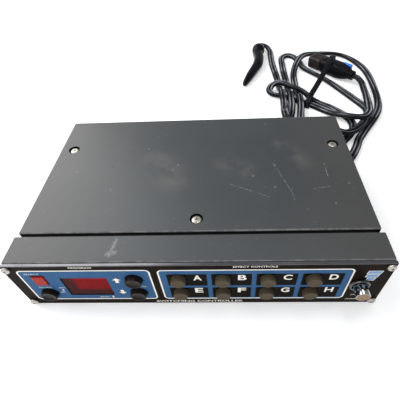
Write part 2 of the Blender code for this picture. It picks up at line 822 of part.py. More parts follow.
def make_button(name, x, z, radius, proud, look):
    """A round cap with a soft rim and a slightly dished face, on a thin stem."""
    frame = facing((0, -1, 0), (0, 0, 0))
    front = -(FRONT_Y - proud)
    rear = -CAP_REAR_Y
    profile = [
        (0.0, -STEM_REAR_Y),
        (STEM_RADIUS, -STEM_REAR_Y),
        (STEM_RADIUS, rear),
        (radius, rear),
        (radius, front - 0.0007),
        (radius - 0.0002, front - 0.0003),
        (radius - 0.0007, front),
        (radius * 0.6, front - 0.0001),
        (0.0, front - 0.0002),
    ]
    cap = turned(name, profile, frame, look, FINE_SIDES)
    axis = travel_axis(name, (x, 0, z))
    cap.parent = axis


def make_buttons():
    for name, (x, z) in channel_button_places().items():
        make_button(name, x, z, CHANNEL_CAP_RADIUS, CHANNEL_CAP_PROUD, grey_cap())
    for name, (x, z) in program_button_places().items():
        make_button(name, x, z, PROGRAM_CAP_RADIUS, PROGRAM_CAP_PROUD, black_plastic())


def make_power_switch():
    """Plated cap, round bushing and the switch body behind the panel."""
    front = -(FRONT_Y - POWER_CAP_PROUD)
    rear = -POWER_CAP_REAR_Y
    profile = [
        (0.0, rear),
        (POWER_CAP_RADIUS, rear),
        (POWER_CAP_RADIUS, front - 0.0008),
        (POWER_CAP_RADIUS - 0.00025, front - 0.00025),
        (POWER_CAP_RADIUS - 0.0008, front),
        (0.0, front),
    ]
    cap = turned("power_button", profile, facing((0, -1, 0), (0, 0, 0)), chrome(), FINE_SIDES)
    cap.parent = travel_axis("power_button", (POWER_X, 0, POWER_Z))
    here = facing((0, -1, 0), (POWER_X, FRONT_Y, POWER_Z))
    outline = [
        (BUSHING_BORE, -PANEL_THICK),
        (BUSHING_BARREL, -PANEL_THICK),
        (BUSHING_BARREL, GAP),
        (BUSHING_FLANGE, GAP),
        (BUSHING_FLANGE, BUSHING_PROUD - 0.0005),
        (BUSHING_FLANGE - 0.0005, BUSHING_PROUD),
        (BUSHING_BORE, BUSHING_PROUD),
    ]
    ring_solid("power_bushing", outline, here, plated_steel(), FINE_SIDES)
    half = SWITCH_BODY_WIDTH / 2
    start = FRONT_Y + PANEL_THICK + GAP
    body_x = POWER_X - SWITCH_BODY_OFFSET
    body = box(
        "power_switch",
        (body_x - half, start, POWER_Z - half),
        (body_x + half, start + SWITCH_BODY_LENGTH, POWER_Z + half),
        black_plastic(),
    )
    depth = POWER_CAP_REAR_Y + POWER_TRAVEL + SWITCH_BORE_ROOM - start
    bore = bored(facing((0, 1, 0), (POWER_X, start - OVERCUT, POWER_Z)), BUSHING_BORE, depth + OVERCUT)
    cut_away(body, bore, "bore")


def make_display():
    """Red filter in the panel, the two-digit display behind it, the lens and its lamp."""
    half_w = WINDOW_WIDTH / 2
    half_h = WINDOW_HEIGHT / 2
    box(
        "display_window",
        (WINDOW_X - half_w, FRONT_Y + GAP, WINDOW_Z - half_h),
        (WINDOW_X + half_w, FRONT_Y + PANEL_THICK, WINDOW_Z + half_h),
        red_filter(),
    )
    inner_w = half_w - DISPLAY_SIDE_INSET
    inner_h = half_h - DISPLAY_END_INSET
    module = box(
        "display_module",
        (WINDOW_X - inner_w, DISPLAY_FRONT_Y, WINDOW_Z - inner_h),
        (WINDOW_X + inner_w, CONTROL_BOARD_Y - GAP, WINDOW_Z + inner_h),
        black_plastic(),
    )
    segments = bmesh.new()
    room = 1.6 * SEGMENT_HALF_WIDTH
    level = DIGIT_HALF_WIDTH - room
    upright = DIGIT_HALF_HEIGHT / 2 - room
    for digit_x in (WINDOW_X - DIGIT_OFFSET, WINDOW_X + DIGIT_OFFSET):
        for z in (-DIGIT_HALF_HEIGHT, 0.0, DIGIT_HALF_HEIGHT):
            add_segment(segments, digit_x, WINDOW_Z + z, level, SEGMENT_HALF_WIDTH)
        for x in (-DIGIT_HALF_WIDTH, DIGIT_HALF_WIDTH):
            for z in (-DIGIT_HALF_HEIGHT / 2, DIGIT_HALF_HEIGHT / 2):
                add_segment(segments, digit_x + x, WINDOW_Z + z, SEGMENT_HALF_WIDTH, upright)
    cut_away(module, segments, "segments")
    lens_front = FRONT_Y - LENS_PROUD
    box(
        "indicator_lens",
        (LENS_X - LENS_WIDTH / 2, lens_front, LENS_Z - LENS_HEIGHT / 2),
        (LENS_X + LENS_WIDTH / 2, FRONT_Y + LENS_DEPTH, LENS_Z + LENS_HEIGHT / 2),
        red_lens(),
        0.0003,
    )
    lamp = [(0.0, 0.0), (LAMP_RADIUS, 0.0), (LAMP_RADIUS, 0.0045), (0.0018, 0.0062), (0.0, 0.0068)]
    place = (LENS_X, CONTROL_BOARD_Y - GAP, LENS_Z)
    turned("indicator_lamp", lamp, facing((0, -1, 0), place), red_lens())


def add_segment(shape, x, z, half_width, half_height):
    low = (x - half_width, DISPLAY_FRONT_Y - OVERCUT, z - half_height)
    add_box(shape, low, (x + half_width, DISPLAY_FRONT_Y + SEGMENT_SINK, z + half_height))


def make_control_board():
    """The upright board behind the panel with a switch block behind each button."""
    board = box(
        "control_board",
        (CONTROL_BOARD_LEFT, CONTROL_BOARD_Y, CONTROL_BOARD_LOW_Z),
        (CONTROL_BOARD_RIGHT, CONTROL_BOARD_Y + BOARD_THICK, CONTROL_BOARD_HIGH_Z),
        board_green(),
    )
    blocks = bmesh.new()
    sockets = bmesh.new()
    half = SWITCH_WIDTH / 2
    face_y = CONTROL_BOARD_Y - SWITCH_DEPTH
    for x, z in {**channel_button_places(), **program_button_places()}.values():
        back_y = CONTROL_BOARD_Y + BOARD_THICK / 2
        add_box(blocks, (x - half, face_y, z - half), (x + half, back_y, z + half))
        place = facing((0, 1, 0), (x, face_y - OVERCUT, z))
        radius = STEM_RADIUS + GAP
        depth = STEM_REAR_Y + BUTTON_TRAVEL + GAP - face_y
        add_turned(sockets, [(radius, 0.0), (radius, depth + OVERCUT)], place, 10)
    add_to(board, blocks, "switch_blocks")
    cut_away(board, sockets, "stem_sockets")


def make_main_board():
    """The logic board on four pillars, with its chips."""
    box(
        "main_board",
        (MAIN_BOARD_LEFT, MAIN_BOARD_FRONT_Y, MAIN_BOARD_Z),
        (MAIN_BOARD_RIGHT, MAIN_BOARD_BACK_Y, MAIN_BOARD_Z + BOARD_THICK),
        board_green(),
    )
    corners = [
        (x, y)
        for x in (MAIN_BOARD_LEFT + STANDOFF_INSET, MAIN_BOARD_RIGHT - STANDOFF_INSET)
        for y in (MAIN_BOARD_FRONT_Y + STANDOFF_INSET, MAIN_BOARD_BACK_Y - STANDOFF_INSET)
    ]
    height = MAIN_BOARD_Z - GAP - (SHEET + GAP)
    for number, (x, y) in enumerate(corners, start=1):
        profile = [(STANDOFF_RADIUS, 0.0), (STANDOFF_RADIUS, height)]
        here = facing((0, 0, 1), (x, y, SHEET + GAP))
        turned(f"board_pillar_{number}", profile, here, brass(), 6)
    top = MAIN_BOARD_Z + BOARD_THICK + GAP
    for name, x, y, length in CHIPS:
        low = (x - length / 2, y - CHIP_DEPTH / 2, top)
        high = (x + length / 2, y + CHIP_DEPTH / 2, top + CHIP_HEIGHT)
        box(name, low, high, black_plastic(), 0.0004)
    for number, x in enumerate(CAPACITOR_X, start=1):
        radius = CAPACITOR_RADIUS
        profile = [
            (radius, 0.0),
            (radius, 0.0015),
            (radius - 0.0006, 0.0022),
            (radius, 0.003),
            (radius, CAPACITOR_HEIGHT - 0.0006),
            (radius - 0.0006, CAPACITOR_HEIGHT),
        ]
        place = facing((0, 0, 1), (x, CAPACITOR_Y, top))
        turned(f"filter_capacitor_{number}", profile, place, capacitor_sleeve())
    make_heat_sink(top)


def make_heat_sink(base_z):
    """A finned block with the voltage regulator against its face."""
    right = SINK_LEFT + SINK_WIDTH
    back_y = SINK_FRONT_Y + SINK_DEPTH
    top = base_z + SINK_HEIGHT
    sink = box("heat_sink", (SINK_LEFT, SINK_FRONT_Y, base_z), (right, back_y, top), aluminium())
    fin = (SINK_WIDTH - SINK_SLOTS * SINK_SLOT) / (SINK_SLOTS + 1)
    slots = bmesh.new()
    for number in range(SINK_SLOTS):
        x = SINK_LEFT + fin + number * (fin + SINK_SLOT)
        low = (x, SINK_FRONT_Y + SINK_WEB, base_z - OVERCUT)
        add_box(slots, low, (x + SINK_SLOT, back_y + OVERCUT, top + OVERCUT))
    cut_away(sink, slots, "fin_slots")
    middle = SINK_LEFT + SINK_WIDTH / 2
    face_y = SINK_FRONT_Y - GAP
    low = (middle - REGULATOR_WIDTH / 2, face_y - REGULATOR_DEPTH, base_z)
    high = (middle + REGULATOR_WIDTH / 2, face_y, base_z + REGULATOR_HEIGHT)
    box("regulator", low, high, black_plastic(), 0.0003)


def make_transformer():
    """A laminated core with two windows, and a coil around its middle limb."""
    low = SHEET + GAP
    half = CORE_WIDTH / 2
    x = CORE_MIDDLE_X
    y = CORE_MIDDLE_Y
    core = box(
        "transformer_core",
        (x - half, y - CORE_DEPTH / 2, low),
        (x + half, y + CORE_DEPTH / 2, low + CORE_HEIGHT),
        zinc_steel(),
    )
    windows = bmesh.new()
    for side in (-1, 1):
        near = x + side * CORE_LIMB
        far = x + side * (half - CORE_LIMB)
        left, right = sorted((near, far))
        add_box(
            windows,
            (left, y - CORE_DEPTH / 2 - OVERCUT, low + CORE_LIMB),
            (right, y + CORE_DEPTH / 2 + OVERCUT, low + CORE_HEIGHT - CORE_LIMB),
        )
    cut_away(core, windows, "windows")
    inner_x = CORE_LIMB + GAP
    inner_y = CORE_DEPTH / 2 + GAP
    coil_low = low + CORE_LIMB + GAP
    coil_high = low + CORE_HEIGHT - CORE_LIMB - GAP
    coil = box(
        "transformer_coil",
        (x - inner_x - COIL_WALL, y - inner_y - COIL_WALL, coil_low),
        (x + inner_x + COIL_WALL, y + inner_y + COIL_WALL, coil_high),
        coil_tape(),
        0.001,
    )
    limb = bmesh.new()
    limb_low = (x - inner_x, y - inner_y, coil_low - OVERCUT)
    add_box(limb, limb_low, (x + inner_x, y + inner_y, coil_high + OVERCUT))
    cut_away(coil, limb, "limb")


def make_ribbon():
    """A flat cable from the control board down to the main board, as one bent strip."""
    start_y = CONTROL_BOARD_Y + BOARD_THICK + GAP
    low_z = MAIN_BOARD_Z + BOARD_THICK + GAP
    end_y = MAIN_BOARD_FRONT_Y + RIBBON_FLAT
    slope = end_y - start_y - 2 * RIBBON_FLAT
    path = [(start_y, RIBBON_HIGH_Z), (start_y + RIBBON_FLAT * 2 / 3, RIBBON_HIGH_Z)]
    for step in range(RIBBON_BENDS + 1):
        share = step / RIBBON_BENDS
        ease = 0.5 - 0.5 * math.cos(math.pi * share)
        path.append((start_y + RIBBON_FLAT + slope * share, RIBBON_HIGH_Z - (RIBBON_HIGH_Z - low_z) * ease))
    path.append((end_y, low_z))
    shape = bmesh.new()
    rows = []
    for y, z in path:
        row = []
        for x, lift in ((-0.5, 0.0), (0.5, 0.0), (0.5, 1.0), (-0.5, 1.0)):
            row.append(shape.verts.new((RIBBON_X + x * RIBBON_WIDTH, y, z + lift * RIBBON_THICK)))
        rows.append(row)
    join_rings(shape, rows)
    finish_object("ribbon_cable", shape, grey_ribbon())


def make_rear_fittings():
    """Fuse holder, three control jacks and two round five-pin sockets."""
    behind = REAR_FACE_Y + GAP
    barrel = FUSE_RADIUS - FUSE_STEP - GAP
    profile = [
        (0.0, -FUSE_BARREL_LENGTH),
        (barrel, -FUSE_BARREL_LENGTH),
        (barrel, 0.0),
        (FUSE_RADIUS, 0.0),
        (FUSE_RADIUS, 0.002),
        (FUSE_RADIUS - 0.0012, 0.0025),
        (FUSE_RADIUS - 0.0016, FUSE_PROUD - 0.0008),
        (FUSE_RADIUS - 0.0024, FUSE_PROUD - GAP),
        (0.0, FUSE_PROUD - GAP),
    ]
    here = facing((0, 1, 0), (FUSE_X, behind, FUSE_Z))
    holder = turned("fuse_holder", profile, here, black_plastic())
    slot = bmesh.new()
    slot_y = behind + FUSE_PROUD
    slot_low = (FUSE_X - FUSE_SLOT_LENGTH / 2, slot_y - FUSE_SLOT_DEPTH, FUSE_Z - FUSE_SLOT_WIDTH / 2)
    slot_high = (FUSE_X + FUSE_SLOT_LENGTH / 2, slot_y, FUSE_Z + FUSE_SLOT_WIDTH / 2)
    add_box(slot, slot_low, slot_high)
    cut_away(holder, slot, "slot")
    for number, x in enumerate(JACK_X, start=1):
        neck = JACK_NUT - JACK_STEP - GAP
        outline = [
            (JACK_BORE, -JACK_BODY_LENGTH),
            (neck, -JACK_BODY_LENGTH),
            (neck, 0.0),
            (JACK_NUT, 0.0),
            (JACK_NUT, JACK_PROUD - 0.0004),
            (JACK_NUT - 0.0004, JACK_PROUD),
            (JACK_BORE, JACK_PROUD),
        ]
        here = facing((0, 1, 0), (x, behind, JACK_Z))
        ring_solid(f"control_jack_{number}", outline, here, plated_steel())
    for number, x in enumerate(DIN_X, start=1):
        make_din_socket(f"din_socket_{number}", x, behind)


def make_din_socket(name, x, behind):
    """A round socket with a shell recess, five pin holes and a key notch."""
    profile = [
        (0.0, -DIN_BODY_LENGTH),
        (DIN_RADIUS, -DIN_BODY_LENGTH),
        (DIN_RADIUS, 0.0),
        (DIN_FLANGE, 0.0),
        (DIN_FLANGE, DIN_PROUD),
        (0.0, DIN_PROUD),
    ]
    socket = turned(name, profile, facing((0, 1, 0), (x, behind, DIN_Z)), black_plastic(), FINE_SIDES)
    front = behind + DIN_PROUD
    recess = bmesh.new()
    ring = [(DIN_RECESS_RADIUS, 0.0), (DIN_RECESS_RADIUS, DIN_RECESS_DEPTH + OVERCUT)]
    add_turned(recess, ring, facing((0, 1, 0), (x, front - DIN_RECESS_DEPTH, DIN_Z)), FINE_SIDES)
    cut_away(socket, recess, "recess")
    core = bmesh.new()
    plug_face = [(DIN_INSERT_RADIUS, 0.0), (DIN_INSERT_RADIUS, DIN_RECESS_DEPTH)]
    base = facing((0, 1, 0), (x, front - DIN_RECESS_DEPTH - DIN_INSERT_SET_BACK, DIN_Z))
    add_turned(core, plug_face, base, PLAIN_SIDES)
    add_to(socket, core, "insert")
    pins = bmesh.new()
    for angle in (0, 45, 90, 135, 180):
        pin_x = x + DIN_PIN_CIRCLE * math.cos(math.radians(angle))
        pin_z = DIN_Z + DIN_PIN_RISE - DIN_PIN_CIRCLE * math.sin(math.radians(angle))
        pin_low = facing((0, 1, 0), (pin_x, front - DIN_PIN_DEPTH, pin_z))
        add_turned(pins, [(DIN_PIN_RADIUS, 0.0), (DIN_PIN_RADIUS, 0.006)], pin_low, 8)
    cut_away(socket, pins, "pins")


def make_strain_relief():
    """A flanged, tapered boot with three grooves, where the mains lead leaves the case."""
    profile = [(0.0, 0.0), (GLAND_RADIUS, 0.0), (GLAND_RADIUS, 0.003), (BOOT_RADIUS, 0.0036)]
    for step in range(1, 4):
        along = 0.0036 + step * BOOT_RIB_PITCH
        radius = BOOT_RADIUS - step * 0.0004
        groove = radius - BOOT_GROOVE
        profile += [(radius, along), (groove, along + 0.0004), (groove, along + 0.0014)]
        profile.append((radius - 0.0001, along + 0.0018))
    profile += [(0.0033, GLAND_LENGTH - GAP), (0.0, GLAND_LENGTH - GAP)]
    here = facing((0, 1, 0), (GLAND_X, REAR_FACE_Y + GAP, GLAND_Z))
    turned("strain_relief", profile, here, lead_rubber())


def make_mains_plug():
    """A moulded two-blade plug lying on its flat side, with a ribbed neck at the lead."""
    frame = Matrix.Translation(PLUG_MIDDLE) @ Matrix.Rotation(PLUG_TURN, 4, "Z")
    sections = [
        (-0.5, 0.50, 0.56),
        (-0.36, 0.56, 0.62),
        (-0.2, 0.84, 0.88),
        (0.0, 0.98, 0.98),
        (0.22, 1.0, 1.0),
        (0.44, 1.0, 1.0),
        (0.5, 0.9, 0.9),
    ]
    shape = bmesh.new()
    rings = []
    for along, wide, high in sections:
        ring = []
        for step in range(PLAIN_SIDES):
            angle = 2 * math.pi * step / PLAIN_SIDES
            across = superellipse(math.cos(angle)) * PLUG_WIDTH / 2 * wide
            up = superellipse(math.sin(angle)) * PLUG_HEIGHT / 2 * high
            ring.append(shape.verts.new(frame @ Vector((along * PLUG_LENGTH, across, up))))
        rings.append(ring)
    join_rings(shape, rings)
    finish_object("mains_plug", shape, lead_rubber())
    near = PLUG_LENGTH / 2 + GAP
    for number, side in enumerate((-1, 1), start=1):
        blade = bmesh.new()
        add_blade(blade, near, side, 0.0)
        blade.transform(frame)
        soften(finish_object(f"plug_blade_{number}", blade, brass()), 0.0005, 1)
    guard = bmesh.new()
    low = (near, -GUARD_WIDTH / 2, -GUARD_HEIGHT / 2)
    add_box(guard, low, (near + GUARD_LENGTH, GUARD_WIDTH / 2, GUARD_HEIGHT / 2))
    guard.transform(frame)
    cover = finish_object("blade_guard", guard, brown_plastic())
    soften(cover, 0.0025, 3)
    slots = bmesh.new()
    for side in (-1, 1):
        add_blade(slots, near, side, GAP)
    slots.transform(frame)
    cut_away(cover, slots, "blade_slots")


def add_blade(shape, near, side, room):
    """Add one blade's block, or the slot for it with some room on every side."""
    middle = side * BLADE_SPACING / 2
    across = BLADE_THICK / 2 + room
    up = BLADE_HEIGHT / 2 + room
    start = near - OVERCUT if room else near
    add_box(shape, (start, middle - across, -up), (near + BLADE_LENGTH + room, middle + across, up))


def superellipse(value):
    """Push a cosine or sine outwards, for a rounded-square section."""
    return math.copysign(abs(value) ** 0.6, value)


def make_control_plug():
    """The straight plug in the first jack."""
    start = REAR_FACE_Y + GAP + JACK_PROUD + GAP
    radius = JACK_PLUG_RADIUS
    profile = [
        (0.0, -0.016),
        (0.0022, -0.014),
        (JACK_BORE - GAP, -0.013),
        (JACK_BORE - GAP, 0.0),
        (radius, 0.0),
        (radius, 0.018),
        (radius - 0.0012, 0.0195),
        (0.0032, JACK_PLUG_LENGTH),
        (0.0, JACK_PLUG_LENGTH),
    ]
    turned("control_plug", profile, facing((0, 1, 0), (JACK_X[0], start, JACK_Z)), black_plastic())


def make_end_plug():
    """A moulded plug that bends from its tip to its wide head, on the control lead's far end."""
    places = [Vector(station[:3]) for station in END_PLUG_STATIONS]
    up = Vector((0, 0, 1))
    shape = bmesh.new()
    rings = []
    for index, place in enumerate(places):
        radius = END_PLUG_STATIONS[index][3]
        ahead = places[min(index + 1, len(places) - 1)]
        behind = places[max(index - 1, 0)]
        across = (ahead - behind).cross(up).normalized()
        ring = []
        for step in range(PLAIN_SIDES):
            angle = 2 * math.pi * step / PLAIN_SIDES
            spot = place + across * radius * math.cos(angle) + up * radius * math.sin(angle)
            ring.append(shape.verts.new(spot))
        rings.append(ring)
    join_rings(shape, rings)
    finish_object("end_plug", shape, black_plastic())


def make_strap():
    """A flat rubber strap that lies over the mains plug and over the folded lead."""
    run = Vector(STRAP_ROUTE[0]) - Vector(STRAP_ROUTE[-1])
    across = run.cross(Vector((0, 0, 1))).normalized()
    places = [Vector(place) for place in STRAP_ROUTE]
    shape = bmesh.new()
    rings = []
    for index, place in enumerate(places):
        ahead = places[min(index + 1, len(places) - 1)]
        behind = places[max(index - 1, 0)]
        up = across.cross(ahead - behind).normalized()
        ring = []
        for side, rise in ((-0.5, -0.5), (0.5, -0.5), (0.5, 0.5), (-0.5, 0.5)):
            spot = place + across * side * STRAP_WIDTH + up * rise * STRAP_THICK
            ring.append(shape.verts.new(spot))
        rings.append(ring)
    join_rings(shape, rings)
    finish_object("lead_strap", shape, lead_rubber())


def join_rings(shape, rings):
    """Join equal rings of corners into one closed body."""
    for here, there in zip(rings, rings[1:]):
        for step in range(len(here)):
            after = (step + 1) % len(here)
            shape.faces.new((here[step], here[after], there[after], there[step]))
    shape.faces.new(list(reversed(rings[0])))
    shape.faces.new(rings[-1])


def smooth_route(points, steps=16):
    """A smooth curve through the points, as closely spaced places along it."""
    spots = [Vector(p) for p in points]
    spots = [2 * spots[0] - spots[1]] + spots + [2 * spots[-1] - spots[-2]]
    line = []
    for index in range(1, len(spots) - 2):
        a, b, c, d = spots[index - 1 : index + 3]
        t1 = (b - a).length ** 0.5
        t2 = t1 + (c - b).length ** 0.5
        t3 = t2 + (d - c).length ** 0.5
        for step in range(steps):
            t = t1 + (t2 - t1) * step / steps
            ab = a.lerp(b, t / t1)
            bc = b.lerp(c, (t - t1) / (t2 - t1))
            cd = c.lerp(d, (t - t2) / (t3 - t2))
            line.append(ab.lerp(bc, t / t2).lerp(bc.lerp(cd, (t - t1) / (t3 - t1)), (t - t1) / (t2 - t1)))
    line.append(spots[-2])
    for place in line:
        place.z = max(place.z, CORD_REST_Z)
    return line


def hank_points():
    """The folds of the spare length, each a half turn between two runs along X."""
    points = []
    steps = 4
    for number, (here, there) in enumerate(zip(HANK_RUNS_Y, HANK_RUNS_Y[1:])):
        side = 1 if number % 2 else -1
        end_x = HANK_RIGHT_X if number % 2 else HANK_LEFT_X
        middle_y = (here + there) / 2
        for step in range(steps + 1):
            angle = math.pi * step / steps
            x = end_x + side * abs(here - middle_y) * math.sin(angle)
            points.append((x, middle_y + (here - middle_y) * math.cos(angle), CORD_REST_Z))
    return points


def tube_points(line):
    """The few places that keep a tube within its sag of the line."""
    kept = [line[0]]
    passed = []
    for before, here in zip(line[1:], line[2:]):
        passed.append(before)
        chord = (here - kept[-1]).normalized()
        sag = max(chord.cross(place - kept[-1]).length for place in passed)
        if sag > TUBE_SAG or (here - kept[-1]).length > LONGEST_STEP:
            kept.append(before)
            passed = []
    kept.append(line[-1])
    return kept


def make_cord(name, route):
    """A plain round tube along a route, with closed ends."""
    curve = bpy.data.curves.new(name, "CURVE")
    curve.dimensions = "3D"
    curve.bevel_depth = CORD_RADIUS
    curve.bevel_resolution = 2
    curve.use_fill_caps = True
    places = tube_points(smooth_route(route))
    spline = curve.splines.new("POLY")
    spline.points.add(len(places) - 1)
    for point, place in zip(spline.points, places):
        point.co = (*place, 1.0)
    curve.materials.append(lead_rubber())
    cord = bpy.data.objects.new(name, curve)
    bpy.context.scene.collection.objects.link(cord)


def main():
    clear_scene()
    make_cover()
    make_chassis()
    make_frame()
    make_front_panel()
    make_screws()
    make_buttons()
    make_power_switch()
    make_display()
    make_control_board()
    make_main_board()
    make_transformer()
    make_ribbon()
    make_rear_fittings()
    make_strain_relief()
    make_mains_plug()
    make_control_plug()
    make_end_plug()
    make_strap()
    make_cord("mains_lead", LEAD_START + hank_points() + LEAD_END)
    make_cord("control_lead", CONTROL_ROUTE)


main()
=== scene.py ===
"""The looks of a half-rack effects switching controller: paint, print, plating, twin cord and light.

Units are metres in the row's frame: +Z up, the front panel faces -Y.
"""

import json
from functools import partialmethod
from itertools import accumulate
from math import acos, copysign, cos, exp, pi, radians, sin

import bmesh
import bpy
from mathutils import Matrix, Vector


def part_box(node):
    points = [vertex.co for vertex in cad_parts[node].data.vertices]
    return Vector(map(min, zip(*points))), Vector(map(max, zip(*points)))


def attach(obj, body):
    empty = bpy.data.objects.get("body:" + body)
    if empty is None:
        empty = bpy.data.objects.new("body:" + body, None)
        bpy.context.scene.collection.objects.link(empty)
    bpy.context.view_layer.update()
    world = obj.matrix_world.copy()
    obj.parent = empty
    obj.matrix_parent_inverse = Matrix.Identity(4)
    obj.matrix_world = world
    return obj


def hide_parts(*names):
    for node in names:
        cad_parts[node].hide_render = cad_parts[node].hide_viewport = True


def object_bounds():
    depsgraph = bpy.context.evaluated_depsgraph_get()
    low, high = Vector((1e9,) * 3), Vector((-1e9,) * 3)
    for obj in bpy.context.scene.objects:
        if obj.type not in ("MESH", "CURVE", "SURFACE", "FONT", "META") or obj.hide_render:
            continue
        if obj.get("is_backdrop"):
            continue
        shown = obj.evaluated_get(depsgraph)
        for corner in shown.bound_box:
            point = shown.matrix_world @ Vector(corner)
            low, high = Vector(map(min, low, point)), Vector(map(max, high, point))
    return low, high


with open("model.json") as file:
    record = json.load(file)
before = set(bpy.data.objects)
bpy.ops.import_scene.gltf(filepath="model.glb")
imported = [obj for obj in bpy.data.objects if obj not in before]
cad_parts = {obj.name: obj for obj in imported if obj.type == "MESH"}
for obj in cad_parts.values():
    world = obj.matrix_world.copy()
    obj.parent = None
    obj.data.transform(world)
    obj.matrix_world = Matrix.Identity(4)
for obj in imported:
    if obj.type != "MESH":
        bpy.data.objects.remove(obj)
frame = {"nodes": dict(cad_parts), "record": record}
CAD_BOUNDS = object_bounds()

# Sizes and places taken from the CAD.
CASE = "case"
FRONT_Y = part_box("front_panel")[0].y
TOP_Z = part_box("front_panel")[1].z
COVER_FRONT_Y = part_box("top_cover")[0].y
REAR_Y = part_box("chassis")[1].y
FRAME_EDGE = 0.0023  # from the panel's face back to the front frame's edge
GROOVE_WIDTH = 0.0023
SCREW_WELL = 0.0046  # radius of the dimple round a cover screw, painted dark as shade
CHANNELS = "abcdefgh"
CHANNEL_NODES = ["channel_button_" + letter for letter in CHANNELS]
PROGRAM_NODES = ["step_up_button", "step_down_button", "store_button"]
COVER_SCREWS = ["cover_screw_left", "cover_screw_right", "cover_screw_front"]
CORNERS = ("top_left", "bottom_left", "top_right", "bottom_right")
PANEL_SCREWS = ["panel_screw_" + corner for corner in CORNERS]
GAP = 0.0003
UP = Vector((0, 0, 1))

# Buttons: the stem behind a cap, and the ring that the power button comes out of.
STEM_RADIUS = 0.0012
STEM_LENGTH = 0.004
RING_BORE = 0.0045
RING_BARREL = 0.0052
RING_SUNK = 0.002

# Print on the panel, as X and Z on its face.
COLUMN_PITCH = 0.0254
FIRST_COLUMN_X = -0.0099
PRINT_LINE = 0.0009
LEFT_FIELD = (-0.101, -0.025, 0.0058, 0.0402)
RIGHT_FIELD = (-0.021, 0.0873, 0.0058, 0.0398)
FIELD_CORNER = 0.003
CELL_START = -0.0064  # from a column's button to its cell's left edge
CELL_WIDTH = 0.0228
CELL_ROWS = ((0.0222, 0.0352), (0.0075, 0.02))
CELL_CORNER = 0.0005
LETTER_OFFSET = 0.011  # from a column's button to its letter
LETTER_SIZE = (0.0049, 0.0056)
LETTER_ROWS = (0.0312, 0.0166)
PRINT_LIFT = 0.00004
PRINT_EDGE = 0.00008  # how soft a printed edge is
# Words as (text, x, z, width, height, weight), and arrows as (x, z, size, 1 for up or -1 for down).
PANEL_WORDS = (
    ("PROGRAM", -0.0628, 0.0429, 0.0128, 0.0016, 0.012),
    ("EFFECT CONTROLS", 0.0333, 0.0427, 0.024, 0.0016, 0.012),
    ("SWITCHING CONTROLLER", 0.0002, 0.0027, 0.054, 0.0023, 0.015),
    ("SELECT", -0.093, 0.0365, 0.009, 0.0012, 0.0),
    ("STORE", -0.091, 0.0212, 0.0075, 0.0012, 0.0),
    ("BANK", -0.0809, 0.0207, 0.0036, 0.0012, 0.0),
    ("SET", -0.0823, 0.015, 0.003, 0.0012, 0.0),
    ("EDIT", -0.058, 0.0087, 0.0056, 0.0012, 0.0),
    ("NO.", -0.031, 0.0216, 0.003, 0.0012, 0.0),
    ("ON", 0.0925, 0.0103, 0.0026, 0.0012, 0.0),
    ("POWER", 0.093, 0.0048, 0.007, 0.0014, 0.0),
)
PANEL_ARROWS = (
    (-0.0458, 0.0288, (0.005, 0.0052), 1),
    (-0.0454, 0.0151, (0.0048, 0.0048), -1),
    (-0.0528, 0.009, (0.0016, 0.0028), 1),
    (-0.0812, 0.0178, (0.0012, 0.0028), 1),
)
# The plain mark of slanted bars.
MARK_X = 0.0982
MARK_TOP_Z = 0.0358
BAR_PITCH = 0.0036
BAR_HEIGHT = 0.0024
LEAN = 0.0003
# Words over the rear fittings, as (node, text, width).
REAR_WORDS_Z = 0.0365
REAR_WORDS = (
    ("control_jack_1", "CONTROL", 0.01),
    ("control_jack_2", "OUT 1", 0.007),
    ("control_jack_3", "OUT 2", 0.007),
    ("din_socket_1", "IN", 0.003),
    ("din_socket_2", "THRU", 0.006),
    ("fuse_holder", "FUSE", 0.006),
)

# The leads: two round cores side by side in one jacket.
CORE_RADIUS = 0.002
CORE_SPREAD = 0.0018
CORD_ROLL = radians(13)  # how far the cord leans over, to one side and the other
ROLL_LENGTH = 0.11
RIDGE = "ridge"  # marks how near a point of a cord is to the top of a core, where a highlight is painted
RIDGE_START = 0.92
CORD_STEP = 0.002
FLOOR_TENTHS = 25  # height of a cord's middle where it lies on the floor
CORD_REST_Z = FLOOR_TENTHS / 10000
HANK_RUNS_Y = (0.119, 0.083, 0.095, 0.107)
HANK_LEFT_X = -0.03
HANK_RIGHT_X = 0.062
JACK_PLUG_LENGTH = 0.027
PLUG_LENGTH = 0.042
PLUG_WIDTH = 0.018
PLUG_HEIGHT = 0.0168
PLUG_FRAME = Matrix.Translation((0.1512, 0.2155, 0.0085)) @ Matrix.Rotation(radians(130), 4, "Z")
PLUG_END_X = PLUG_LENGTH / 2 + GAP
NECK_END = -0.36  # as a share of the plug's length from its middle
INSET_SIZE = (0.011, 0.0036, 0.0052)
INSET_PLACE = (-0.0076, -0.0062, 0.0052)
BLADE_LENGTH = 0.015
BLADE_SPACING = 0.0127
BLADE_THICK = 0.0016
BLADE_HEIGHT = 0.0062
GUARD_LENGTH = 0.0165
GUARD_WIDTH = 0.018
GUARD_HEIGHT = 0.0145
STRAP_WIDTH = 0.006
STRAP_THICK = 0.001
RING_SIDES = 40  # points round the plugs


def tenths(*points):
    """Points in metres, from whole tenths of a millimetre; one without a height lies on the floor."""
    whole = [point if len(point) > 2 else (*point, FLOOR_TENTHS) for point in points]
    return [tuple(value / 10000 for value in point) for point in whole]


